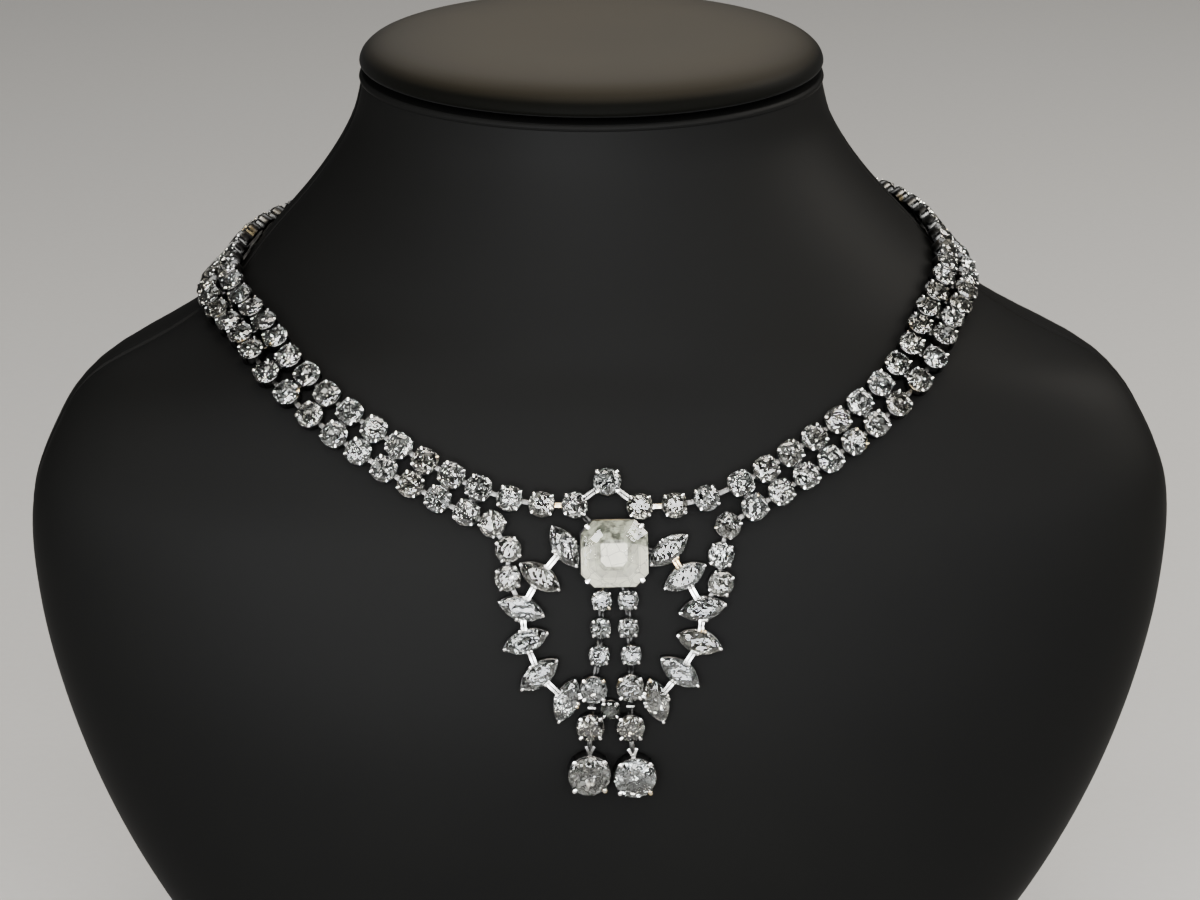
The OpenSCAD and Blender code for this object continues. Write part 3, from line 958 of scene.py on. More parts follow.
def kept(
    bm: bmesh.types.BMesh, name: str, shine: tuple[float, float] | None = None
) -> bpy.types.Mesh:
    """Turns a bmesh into a small mesh to be laid many times.

    Args:
        bm: The bmesh, which is freed.
        name: Name of the mesh.
        shine: Heights at which the shine attribute is 0 and 1, or None for 1 all over.

    Returns:
        The small mesh.
    """
    layer = bm.verts.layers.float.get("shine") or bm.verts.layers.float.new("shine")
    for vert in bm.verts:
        share = 1.0 if shine is None else (vert.co.z - shine[0]) / (shine[1] - shine[0])
        vert[layer] = min(max(share, 0.0), 1.0)
    bmesh.ops.recalc_face_normals(bm, faces=bm.faces)
    mesh = bpy.data.meshes.new(name)
    bm.to_mesh(mesh)
    bm.free()
    return mesh


def swept(
    outline: list[Vector], places: list[Matrix], bm: bmesh.types.BMesh | None = None
) -> bmesh.types.BMesh:
    """Closed solid made by extruding an outline from place to place.

    Args:
        outline: Points of the flat outline.
        places: Where the outline lies at each step, with its scale.
        bm: A bmesh to add the solid to, or None for a new one.

    Returns:
        The bmesh.
    """
    bm = bm or bmesh.new()
    verts = [bm.verts.new(places[0] @ p) for p in outline]
    edges = [bm.edges.new((a, b)) for a, b in zip(verts, verts[1:] + verts[:1])]
    bmesh.ops.contextual_create(bm, geom=edges)
    for before, now in zip(places, places[1:]):
        out = bmesh.ops.extrude_edge_only(bm, edges=edges)["geom"]
        verts = [g for g in out if isinstance(g, bmesh.types.BMVert)]
        edges = [g for g in out if isinstance(g, bmesh.types.BMEdge)]
        bmesh.ops.transform(bm, matrix=now @ before.inverted(), verts=verts)
    bmesh.ops.contextual_create(bm, geom=edges)
    return bm


def wrapped(around: int, up: int, place: Callable[[float, float], Vector]) -> bmesh.types.BMesh:
    """Skin that wraps round once, from its foot up, with its open ends closed.

    Args:
        around: Number of faces round it.
        up: Number of faces up it.
        place: Gives a point from the share of the way round and the share of the way up.

    Returns:
        The bmesh.
    """
    bm = bmesh.new()
    bmesh.ops.create_grid(bm, x_segments=around, y_segments=up, size=1)
    for vert in bm.verts:
        vert.co = place((vert.co.x + 1) / 2, (vert.co.y + 1) / 2)
    bmesh.ops.remove_doubles(bm, verts=bm.verts, dist=MERGE)
    bmesh.ops.holes_fill(bm, edges=[e for e in bm.edges if e.is_boundary], sides=0)
    bmesh.ops.recalc_face_normals(bm, faces=bm.faces)
    return bm


def circle_outline(count: int, start: float = 0.0) -> list[Vector]:
    """Points on a circle of radius 1, from a start angle in degrees."""
    turns = [math.radians(start + 360 * j / count) for j in range(count)]
    return [Vector((math.cos(a), math.sin(a), 0)) for a in turns]


def cushion_outline(count: int, square: float) -> list[Vector]:
    """Points on a circle of radius 1 that is drawn out to rounded corners.

    Args:
        count: Number of points.
        square: Squareness of the outline, which is 2 for a circle.

    Returns:
        The points.
    """
    circle = circle_outline(count)
    return [p / (abs(p.x) ** square + abs(p.y) ** square) ** (1 / square) for p in circle]


def oval_outline(length: float, width: float, count: int) -> list[Vector]:
    """Points on a pointed oval, scaled so that it reaches 1 each way.

    Args:
        length: Length of the oval, which with its width sets how sharp its tips are.
        width: Its width.
        count: Number of points, an even number.

    Returns:
        The points, starting at the right tip.
    """
    r = (length**2 + width**2) / (4 * width)
    sweep = math.asin(length / 2 / r)
    half = count // 2
    points = []
    for sign in (1, -1):
        for j in range(half):
            a = sweep * (1 - 2 * j / half)
            x, y = r * math.sin(a), r * math.cos(a) - r + width / 2
            points.append(Vector((sign * x * 2 / length, sign * y * 2 / width, 0)))
    return points


def octagon_outline(width: float, corner: float) -> list[Vector]:
    """Square with cut corners, scaled so that it reaches 1 each way.

    Args:
        width: Width of the square.
        corner: How much of each side a corner's cut takes.

    Returns:
        The points.
    """
    c = 1 - 2 * corner / width
    corners = ((1, -c), (1, c), (c, 1), (-c, 1), (-1, c), (-1, -c), (-c, -1), (c, -1))
    return [Vector((x, y, 0)) for x, y in corners]


def level(half_l: float, half_w: float, z: float) -> Matrix:
    """Place of an outline that lies level, at half a length, half a width and a height."""
    return Matrix.Translation((0, 0, z)) @ Matrix.Diagonal((half_l, half_w, 1, 1))


@dataclass(frozen=True)
class Wear:
    """How much of its foil a stone has lost."""

    # Share of single facets, and chance that one half of the stone went
    facets: float
    halves: float
    # A spent facet has lost at least this share of its foil
    least: float = 0.75


@dataclass(frozen=True)
class Cut:
    """Shares that the stones are cut to, and their heights in a setting."""

    # Depth under the girdle and height over it, as shares of the stone's width
    pavilion: float = 0.42
    crown: float = 0.158
    # How far out the table, the star facets and the lower facets reach
    table: float = 0.62
    star_reach: float = 0.8
    lower_reach: float = 0.7
    # Height of a stone's lowest point above its setting's foot
    culet_lift: float = 0.6
    # Share of its foil that a step-cut stone's flat bottom has lost
    culet_spent: float = 0.16
    # A facet whose corners differ less than this in height is level
    level_within: float = 0.01
    # Facets that meet at less than this angle in degrees are one
    facet_angle: float = 0.5
    # The cups' rims lie this far under the girdles
    girdle_seat: float = 0.18
    # The stones hide their cups' rims, so they reach this far over them
    overhang: float = 0.18

    def girdle(self, width: float) -> float:
        """Height of a stone's girdle above its setting's foot."""
        return self.culet_lift + self.pavilion * width

    def brilliant(
        self,
        outline: list[Vector],
        half_l: float,
        half_w: float,
        wear: Wear,
        slip: float,
        name: str,
    ) -> bpy.types.Mesh:
        """Brilliant-cut stone: table, star, kite and girdle facets over a faceted pavilion.

        Args:
            outline: Points of the girdle, an even number of them, which reach 1.
            half_l: Half length of the girdle.
            half_w: Half width of the girdle.
            wear: How much of its foil it has lost.
            slip: Share by which its facets' corners miss their places.
            name: Name of the mesh, which also seeds its chances.

        Returns:
            The stone, with glass on top and foil underneath.
        """
        width = 2 * half_w
        girdle, crown, pavilion = self.girdle(width), self.crown * width, self.pavilion * width
        chance = random.Random(name)
        half_l, half_w = half_l + self.overhang * half_l / half_w, half_w + self.overhang
        bend = math.cos(math.tau / len(outline))
        star_z = girdle + crown * (1 - self.star_reach) / (1 - self.table)
        lower_z = girdle - pavilion * (1 - self.lower_reach)
        mains, between = outline[0::2], outline[1::2]
        levels = (
            (between, self.lower_reach / bend, lower_z),
            (outline, 1.0, girdle),
            (between, self.star_reach / bend, star_z),
            (mains, self.table, girdle + crown),
        )
        bm = bmesh.new()
        # A long stone ends in a keel, so that its tips slope as much as its sides do
        for end in (-1, 1):
            bm.verts.new((end * (half_l - half_w), 0, girdle - pavilion))
        for points, share, z in levels:
            for p in points:
                miss = 1.0 if share == 1.0 else chance.uniform(1 - slip, 1 + slip)
                bm.verts.new((p.x * share * miss * half_l, p.y * share * miss * half_w, z))
        angle = chance.uniform(0, math.tau)
        half_gone = chance.random() < wear.halves

        def spent(face: bmesh.types.BMFace) -> float:
            """Share of its foil that a facet has lost.

            Args:
                face: The facet.

            Returns:
                The share.
            """
            middle = face.calc_center_median()
            gone = half_gone and middle.x * math.cos(angle) + middle.y * math.sin(angle) > 0
            return chance.uniform(wear.least, 1.0) if gone or chance.random() < wear.facets else 0.0

        return self.faceted(bm, girdle, spent, name)

    def stepped(
        self, outline: list[Vector], half: float, steps: tuple[Row, ...], name: str
    ) -> bpy.types.Mesh:
        """Step-cut stone.

        Args:
            outline: Outline that reaches 1.
            half: Half width of the girdle.
            steps: Share of the width and height of each ring, and how spent the foil above it is.
            name: Name of the mesh.

        Returns:
            The stone, with glass on top and foil underneath.
        """
        half += self.overhang
        bm = bmesh.new()
        for share, z, _ in steps:
            for p in outline:
                bm.verts.new((p.x * share * half, p.y * share * half, z))

        def spent(face: bmesh.types.BMFace) -> float:
            """Share of its foil that a ring of facets has lost.

            Args:
                face: The facet.

            Returns:
                The share.
            """
            lowest = min(vert.co.z for vert in face.verts)
            top = max(vert.co.z for vert in face.verts)
            if top - lowest < self.level_within:
                return self.culet_spent
            return min(steps, key=lambda step: abs(step[1] - lowest))[2]

        # The widest ring is the girdle
        return self.faceted(bm, max(steps)[1], spent, name)

    def faceted(
        self,
        bm: bmesh.types.BMesh,
        girdle: float,
        spent: Callable[[bmesh.types.BMFace], float],
        name: str,
    ) -> bpy.types.Mesh:
        """Skins a stone's corners with flat facets, and puts foil on those below the girdle.

        Args:
            bm: The bmesh that holds the corners.
            girdle: Height of the girdle.
            spent: Gives the share of its foil that a facet has lost.
            name: Name of the mesh.

        Returns:
            The stone.
        """
        bmesh.ops.remove_doubles(bm, verts=bm.verts, dist=MERGE)
        bmesh.ops.convex_hull(bm, input=bm.verts)
        bmesh.ops.delete(bm, geom=[v for v in bm.verts if not v.link_faces], context="VERTS")
        limit = math.radians(self.facet_angle)
        bmesh.ops.dissolve_limit(bm, angle_limit=limit, verts=bm.verts, edges=bm.edges)
        layer = bm.faces.layers.float.new("dark")
        for face in bm.faces:
            face.material_index = 1 if face.calc_center_median().z < girdle else 0
            face[layer] = spent(face)
        return kept(bm, name)


@dataclass(frozen=True)
class Metalwork:
    """Small parts that the settings are made of."""

    # Thickness of a cup's rim, rounding of its foot, and bevel of its rim
    rim: float = 0.25
    foot_round: float = 0.35
    rim_bevel: float = 0.08
    # How far the hollow's upper edge and its wall stand inside the stone, along and across
    rim_bite: tuple[float, float] = (0.08, 0.06)
    hollow_bite: tuple[float, float] = (0.12, 0.1)
    # Height of the foot of the hollow's wall, and of its bottom, which is a share as wide
    hollow_wall_z: float = 0.5
    hollow_z: float = 0.3
    hollow_share: float = 0.3
    plate_bevel: float = 0.1
    claw_half_w: float = 0.38
    claw_half_t: float = 0.26
    claw_sides: int = 8
    # A claw from its root to its tip: distance from the stone's edge as a share of its own half
    # thickness, height above the girdle, bend in degrees, and shares of its width and thickness.
    # The root's height is a share of the girdle's own.
    claw_root: Row = (1.1, -0.65, 0, 0.7, 0.8)
    claw_path: tuple[Row, ...] = (
        (1.4, -0.05, 0, 0.8, 0.85),
        (1.4, 0.14, 10, 0.9, 0.95),
        (1.1, 0.26, 40, 1.0, 1.2),
        (0.2, 0.34, 75, 0.9, 1.0),
        (-0.8, 0.33, 95, 0.5, 0.6),
    )
    # Turn of each claw's eight-sided section, in degrees, and height over the girdle where a claw
    # is all bright; at the girdle and below, a claw is dark with tarnish and painted shade
    claw_section_turn: float = 30.0
    claw_top: float = 0.45
    # Heights at which a cup's wall would be all dark with tarnish and painted shade, and all
    # bright, as shares of its own
    tarnish_and_shade_share: float = 0.85
    bright_share: float = 1.5

    def cup(
        self, outline: list[Vector], half_l: float, half_w: float, top: float, name: str
    ) -> bpy.types.Mesh:
        """Cup with a rounded foot and a thin bright rim, hollow under the stone.

        Args:
            outline: Outline that reaches 1.
            half_l: Half length of the stone that it holds.
            half_w: Half width of the stone.
            top: Height of the rim.
            name: Name of the mesh.

        Returns:
            The cup.
        """
        out_l, out_w = half_l + self.rim * half_l / half_w, half_w + self.rim
        foot, bevel = self.foot_round, self.rim_bevel
        places = [
            level(out_l - foot, out_w - foot, 0),
            level(out_l, out_w, foot),
            level(out_l, out_w, top - bevel),
            level(out_l - bevel, out_w - bevel, top),
            level(half_l - self.rim_bite[0], half_w - self.rim_bite[1], top),
            level(half_l - self.hollow_bite[0], half_w - self.hollow_bite[1], self.hollow_wall_z),
            level(half_l * self.hollow_share, half_w * self.hollow_share, self.hollow_z),
        ]
        shine = (top * self.tarnish_and_shade_share, top * self.bright_share)
        return kept(swept(outline, places), name, shine=shine)

    def claws(
        self, spots: list[tuple[float, float, float]], girdle: float, share: float, name: str
    ) -> bpy.types.Mesh:
        """Round claws against a cup's wall, each bent over the stone's edge to a bead.

        Args:
            spots: Turn in degrees, reach and sideways shift of each claw.
            girdle: Height of the stone's girdle.
            share: Size of the claws as a share of the usual one.
            name: Name of the mesh.

        Returns:
            The claws.
        """
        half_w, half_t = self.claw_half_w * share, self.claw_half_t * share
        root_x, root_share, *root_rest = self.claw_root
        path = ((root_x, girdle * root_share, *root_rest), *self.claw_path)
        outline = circle_outline(self.claw_sides, self.claw_section_turn)
        bm = bmesh.new()
        for turn, reach, shift in spots:
            round_turn = Matrix.Rotation(math.radians(turn), 4, "Z")
            spot = round_turn @ Matrix.Translation((reach, shift, girdle))
            places = [
                spot
                @ Matrix.Translation((half_t * x, 0, z))
                @ Matrix.Rotation(math.radians(-bend), 4, "Y")
                @ Matrix.Diagonal((half_t * thick, half_w * wide, 1, 1))
                for x, z, bend, wide, thick in path
            ]
            swept(outline, places, bm)
        return kept(bm, name, shine=(girdle, girdle + self.claw_top))

    def plate(self, name: str) -> bpy.types.Mesh:
        """Plate of size 1 each way with softened edges, scaled to each strip and tongue.

        Args:
            name: Name of the mesh.

        Returns:
            The plate.
        """
        bm = bmesh.new()
        bmesh.ops.create_cube(bm, size=1)
        bmesh.ops.bevel(
            bm,
            geom=list(bm.edges),
            offset=self.plate_bevel,
            affect="EDGES",
            segments=1,
            profile=0.5,
            material=-1,
        )
        return kept(bm, name)


# ---- Pieces


@dataclass
class Piece:
    """One visible piece, collected from small meshes and then dressed."""

    name: str
    slot: str
    nodes: tuple[str, ...]
    materials: tuple[bpy.types.Material, ...]
    # Edges sharper than this stay sharp; 0 for facets
    smooth_degrees: float = 35.0
    bm: bmesh.types.BMesh = field(default_factory=bmesh.new)

    def __post_init__(self) -> None:
        """Adds the attributes that the finishes read."""
        self.bm.verts.layers.float.new("shine")
        self.bm.faces.layers.float.new("tint")
        self.bm.faces.layers.float.new("dark")

    def lay(
        self, mesh: bpy.types.Mesh, matrix: Matrix, tint: float = 0.0, shine: float = 1.0
    ) -> None:
        """Lays a copy of a small mesh.

        Args:
            mesh: The small mesh, in millimetres.
            matrix: Its place, which turns it to metres.
            tint: Value of the tint attribute on this copy.
            shine: Share of its shine that this copy keeps.
        """
        had_verts, had_faces = len(self.bm.verts), len(self.bm.faces)
        self.bm.from_mesh(mesh)
        self.bm.verts.ensure_lookup_table()
        self.bm.faces.ensure_lookup_table()
        bmesh.ops.transform(self.bm, matrix=matrix, verts=self.bm.verts[had_verts:])
        tints, shines = self.bm.faces.layers.float["tint"], self.bm.verts.layers.float["shine"]
        for face in self.bm.faces[had_faces:]:
            face[tints] = tint
        for vert in self.bm.verts[had_verts:]:
            vert[shines] *= shine

    def lay_plate(
        self, plate: bpy.types.Mesh, matrix: Matrix, size: Row, middle: Row, shine: float = 1.0
    ) -> None:
        """Lays the unit plate.

        Args:
            plate: The plate.
            matrix: The frame that it lies in.
            size: Its size along the frame's three directions.
            middle: Its middle in the frame.
            shine: Share of its shine that it keeps.
        """
        place = matrix @ Matrix.Translation(middle) @ Matrix.Diagonal((*size, 1))
        self.lay(plate, place, shine=shine)

    def done(self) -> None:
        """Makes the object, dresses it and puts it on the frame."""
        mesh = bpy.data.meshes.new(self.name)
        self.bm.to_mesh(mesh)
        self.bm.free()
        for material in self.materials:
            mesh.materials.append(material)
        if self.smooth_degrees > 0:
            mesh.shade_smooth()
            mesh.set_sharp_from_angle(angle=math.radians(self.smooth_degrees))
        obj = bpy.data.objects.new(self.name, mesh)
        bpy.context.scene.collection.objects.link(obj)
        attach(obj, ROOT)
        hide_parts(*self.nodes)
        log.info("%s: %d faces", self.name, len(mesh.polygons))


@dataclass
class Workshop:
    """Materials and small meshes that several pieces share."""

    row_d: float = 4.4
    # Squareness of the row's stones, and the most that one is turned out of line, in degrees
    row_square: float = 3.0
    row_slant: float = 5.0
    medium_d: float = 4.7
    small_d: float = 3.4
    dark_d: float = 3.2
    drop_d: float = 7.4
    marquise_l: float = 8.0
    marquise_w: float = 4.0
    octagon_w: float = 11.9
    octagon_corner: float = 2.3
    octagon_depth: float = 4.6
    octagon_seat: float = 0.38
    # Each ring's share of the width and of the depth, and how spent the foil above it is
    octagon_steps: tuple[Row, ...] = (
        (0.4, 0.04, 0.8),
        (0.43, 0.07, 0.0),
        (0.52, 0.15, 0.5),
        (0.66, 0.29, 1.0),
        (0.69, 0.32, 0.0),
        (1.0, 0.7, 0.0),
        (0.9, 0.84, 0.0),
        (0.74, 0.95, 0.0),
        (0.56, 1.0, 0.0),
    )
    # A link's hook and tongue: widths, thickness, and distance from the middle of the cup ahead
    hook_w: float = 1.85
    hook_t: float = 0.4
    hook_stop: float = 1.45
    tongue_w: float = 0.85
    tongue_z: float = 0.8
    tongue_bite: float = 0.2
    stone_sides: int = 16
    cup_sides: int = 16
    drop_cup_sides: int = 24
    # Turn of the claws from the way to the next cup, and their sizes as shares of the usual one
    claw_turn: float = 45.0
    row_claws: float = 0.85
    drop_claws: float = 1.25
    # Names of the stones' meshes end in one of so many numbers, which also seed their chances
    numbers: int = 1000
    seed: int = 7
    # The row's stones kept most of their foil, and the wings' often lost it on one half
    row_wear: Wear = Wear(0.16, 0.0)
    centre_wear: Wear = Wear(0.25, 0.4)
    wing_wear: Wear = Wear(0.2, 0.75)
    string_wear: Wear = Wear(0.45, 0.4)
    # The facets of a cheap cut do not quite meet where they should
    slip: float = 0.05
    wing_slip: float = 0.1
    cut: Cut = Cut()
    metalwork: Metalwork = Metalwork()

    def __post_init__(self) -> None:
        """Makes the materials and the small meshes."""
        self.random = random.Random(self.seed)
        self.silver = SilverPlate().material()
        self.clear = (
            LeadGlass("clear_lead_glass").material(),
            MirrorFoil("silver_mirror_foil").material(),
        )
        # Octagon: creamy, smoother glass over a matt coat, with painted shade mottled grey-green in
        # its upper half
        self.cream = (
            LeadGlass(
                "cream_lead_glass", "#fdfcf4", "#fdfcf4", roughness=0.05, wave_depth_mm=0.015
            ).material(),
            MirrorFoil(
                "aged_mirror_foil",
                "#fefdf2",
                "#fefdf2",
                "#aeb1a2",
                # Grey-green tones of the painted shade in its upper half
                "#3a3d34",
                roughness=0.42,
                metallic=0.35,
                crack_mm=2.2,
                crack_widths=(0.0, 0.035),
                crack_depth=0.5,
                spent_and_shade_above=118.6,
            ).material(),
        )
        # Dark stone: grey glass, and all its foil is spent
        self.smoky = (
            LeadGlass("smoky_lead_glass", "#979e95", "#979e95").material(),
            MirrorFoil(
                "dulled_mirror_foil", "#83887f", "#83887f", "#4a4f48", "#1d201c", spent_and_shade_above=0.0
            ).material(),
        )
        self.plate = self.metalwork.plate("plate")
        self.round_cups = {d: self.make_round_cup(d) for d in self.round_widths}
        self.round_claws = {d: self.make_round_claws(d) for d in self.round_widths}

    @property
    def round_widths(self) -> tuple[float, ...]:
        """Widths of the round stones."""
        return (self.row_d, self.medium_d, self.small_d, self.dark_d, self.drop_d)

    @property
    def octagon_girdle(self) -> float:
        """Height of the octagon stone's girdle."""
        return self.cut.culet_lift + self.octagon_depth * max(self.octagon_steps)[1]

    def make_round_stone(self, d: float) -> bpy.types.Mesh:
        """Round brilliant of a width, its facets' foil worn in another way on each call.

        Args:
            d: Its width.

        Returns:
            The stone.
        """
        name = f"round_stone_{d}_{self.random.randrange(self.numbers)}"
        wear = self.centre_wear if d > self.small_d else self.string_wear
        outline = circle_outline(self.stone_sides)
        return self.cut.brilliant(outline, d / 2, d / 2, wear, self.slip, name)

    def make_cushion_stone(self, d: float) -> bpy.types.Mesh:
        """Stone of the double row: pressed between its claws, it looks a little square.

        Args:
            d: Its width.

        Returns:
            The stone.
        """
        name = f"row_stone_{self.random.randrange(self.numbers)}"
        outline = cushion_outline(self.stone_sides, self.row_square)
        return self.cut.brilliant(outline, d / 2, d / 2, self.row_wear, self.slip, name)

    def make_round_cup(self, d: float) -> bpy.types.Mesh:
        """Round cup for a stone of a width.

        Args:
            d: Width of the stone.

        Returns:
            The cup.
        """
        sides = self.drop_cup_sides if d > self.medium_d else self.cup_sides
        top = self.cut.girdle(d) - self.cut.girdle_seat
        return self.metalwork.cup(circle_outline(sides), d / 2, d / 2, top, f"round_cup_{d}")

    def make_round_claws(self, d: float) -> bpy.types.Mesh:
        """Four claws for a round stone of a width.

        Args:
            d: Width of the stone.

        Returns:
            The claws.
        """
        spots = [(turn, d / 2, 0.0) for turn in range(0, 360, 90)]
        share = self.row_claws
        if d > self.row_d:
            share = self.drop_claws if d > self.medium_d else 1.0
        return self.metalwork.claws(spots, self.cut.girdle(d), share, f"round_claws_{d}")

    def set_round(self, piece: Piece, seat: Seat, d: float, way: float = 0.0) -> None:
        """Lays a round cup and its claws.

        Args:
            piece: The piece that it goes into.
            seat: Its place.
            d: Width of its stone.
            way: Way to the next cup, in radians, which its claws stand on both sides of.
        """
        piece.lay(self.round_cups[d], seat.matrix())
        turn = math.radians(math.degrees(way) + self.claw_turn)
        piece.lay(self.round_claws[d], seat.matrix(turn))

    def link(
        self, piece: Piece, seat: Seat, wall: float, ahead: Vector, shine: float = 0.15
    ) -> None:
        """Lays a tongue from a cup's wall, with its hook inside the cup ahead.

        Args:
            piece: The piece that it goes into.
            seat: Place of the cup.
            wall: Distance of the wall from its middle.
            ahead: Middle of the cup ahead.
            shine: Share of its shine that it keeps; the usual 0.15 leaves a tongue dark with
                tarnish and painted shade.
        """
        tip = (ahead - seat.place).length - self.hook_stop
        matrix = seat.matrix(seat.bearing(ahead), seat.rise(ahead))
        middle_z = self.tongue_z + self.hook_t / 2
        size = (tip - wall + self.tongue_bite, self.tongue_w, self.hook_t)
        middle = ((tip + wall - self.tongue_bite) / 2, 0, middle_z)
        piece.lay_plate(self.plate, matrix, size, middle, shine)
        size, middle = (self.hook_t, self.hook_w, self.hook_t), (tip, 0, middle_z)
        piece.lay_plate(self.plate, matrix, size, middle, shine)

    def linked_cup(self, piece: Piece, seat: Seat, ahead: Vector, behind: Vector) -> float:
        """Lays a cup of the row, linked to the one ahead, with its claws on the row's diagonals.

        Args:
            piece: The piece that it goes into.
            seat: Place of the cup.
            ahead: Middle of the cup that its hook reaches.
            behind: Middle of the cup whose hook it holds.

        Returns:
            The cup's turn in radians.
        """
        turn = seat.bearing(ahead)
        bend = (seat.bearing(behind) + math.pi - turn + 3 * math.pi) % (2 * math.pi) - math.pi
        self.set_round(piece, seat, self.row_d, turn + bend / 2)
        self.link(piece, seat, self.row_d / 2 + self.metalwork.rim, ahead)
        return turn + bend / 2

    def lay_stone(
        self, piece: Piece, mesh: bpy.types.Mesh, seat: Seat, turn: float | None = None
    ) -> None:
        """Lays a stone, turned any way in its cup unless a turn in radians is given."""
        spin = self.random.uniform(0, math.tau) if turn is None else turn
        piece.lay(mesh, seat.matrix(spin), self.random.random() ** 2)

    def stone(
        self,
        name: str,
        node: str,
        mesh: bpy.types.Mesh,
        seat: Seat,
        turn: float | None = None,
        glass: tuple[bpy.types.Material, bpy.types.Material] | None = None,
    ) -> None:
        """Makes a main stone, a piece of its own.

        Args:
            name: Name of the piece.
            node: The node that it stands for.
            mesh: The cut stone.
            seat: Its place.
            turn: Its turn in radians, or None for any.
            glass: Its glass and foil, or None for the clear ones.
        """
        slot = "dark_crystal" if glass is self.smoky else "crystal"
        piece = Piece(name, slot, (node,), glass or self.clear, smooth_degrees=0)
        self.lay_stone(piece, mesh, seat, turn)
        piece.done()


@dataclass(frozen=True)
class Layout:
    """Places on the chest, in millimetres: x and height on the left, then on the right."""

    upper_singles: tuple[Row, ...] = (
        (-7.1, 124.6, 4.8, 124.2),
        (-13.1, 124.8, 11.2, 124.3),
        (-19.0, 125.8, 17.1, 125.3),
    )
    side_drops: tuple[Row, ...] = (
        (-22.2, 121.6, 20.9, 120.7),
        (-19.4, 117.4, 19.5, 115.8),
        (-19.5, 112.4, 19.4, 110.8),
    )
    # Each side also has the stone's turn in degrees
    marquises: tuple[Row, ...] = (
        (-9.1, 117.8, -59, 9.9, 116.9, 38),
        (-13.7, 112.6, -34, 12.8, 112.2, 29),
        (-17.1, 107.0, -18, 16.0, 106.4, 9),
        (-16.4, 101.1, 21, 15.4, 100.4, -19),
        (-14.0, 94.9, 40, 11.8, 94.9, -38),
        (-9.0, 90.0, 69, 7.5, 89.7, -73),
    )
    # Which marquise carries the side drop, counted from 0
    drop_carrier: int = 2
    strings: tuple[Row, ...] = (
        (-2.4, 108.2, 2.4, 108.2),
        (-2.7, 103.2, 2.4, 103.2),
        (-3.0, 98.2, 2.9, 98.2),
    )
    mediums: tuple[Row, ...] = ((-4.1, 92.0, 2.7, 92.2), (-4.7, 84.9, 2.7, 84.7))
    drops: tuple[Row, ...] = ((-4.9, 76.2, 3.5, 75.6),)
    # The three middle ones have one place each
    top: Row = (-1.1, 128.4)
    octagon: Row = (-0.1, 116.6)
    dark: Row = (-1.0, 88.1)

    def seats(self, form: BustForm, table: tuple[Row, ...], side: Side) -> list[Seat]:
        """Seats of a table's rows on one side.

        Args:
            form: Form of the bust.
            table: One of the tables.
            side: The side.

        Returns:
            The seats, in the table's order.
        """
        columns = len(table[0]) // 2
        start = 0 if side is Side.LEFT else columns
        return [form.seat(row[start], row[start + 1]) for row in table]

    def turns(self, side: Side) -> list[float]:
        """Turns of the marquise stones on one side, in radians."""
        return [math.radians(row[2 if side is Side.LEFT else 5]) for row in self.marquises]


@dataclass
class DoubleRow:
    """Double row of claw-set stones on one side, soldered two by two and hooked together."""

    form: BustForm
    shop: Workshop
    layout: Layout
    side: Side
    clasp: "Clasp"
    bridge_w: float = 1.6
    bridge_h: float = 1.6
    # Bridges deep between a pair's stones are nearly black with tarnish and painted shade
    bridge_shine: float = 0.05

    def build(self) -> None:
        """Builds the pairs of settings and their stones."""
        shop, side, word = self.shop, self.side, self.side.word
        path = RowPath(self.form, side)
        seats = path.seats()
        name, node = f"double_row_settings_{word}", f"pair_settings_{word}"
        settings = Piece(name, "silver", (node,), (shop.silver,))
        name, node = f"double_row_stones_{word}", f"pair_stones_{word}"
        stones = Piece(name, "crystal", (node,), shop.clear, smooth_degrees=0)
        for line in Line:
            table = self.layout.upper_singles if line is Line.UPPER else self.layout.side_drops
            nearest = self.layout.seats(self.form, table, side)[2 if line is Line.UPPER else 0]
            rows = [seat.moved(seat.at(0, path.offset(line))) for seat in seats]
            places = [nearest.place, *(seat.place for seat in rows), self.clasp.hold(side, line)]
            for k, seat in enumerate(rows):
                turn = shop.linked_cup(settings, seat, places[k + 2], places[k])
                turn += math.radians(shop.random.uniform(-shop.row_slant, shop.row_slant))
                shop.lay_stone(stones, shop.make_cushion_stone(shop.row_d), seat, turn)
        size = (self.bridge_w, path.row_gap - shop.row_d, self.bridge_h)
        middle = (0, 0, self.bridge_h / 2)
        for seat in seats:
            settings.lay_plate(shop.plate, seat.matrix(), size, middle, self.bridge_shine)
        settings.done()
        stones.done()

    def first(self, line: Line) -> Vector:
        """Middle of the cup nearest the front, on one line."""
        path = RowPath(self.form, self.side)
        return path.seats()[0].at(0, path.offset(line))


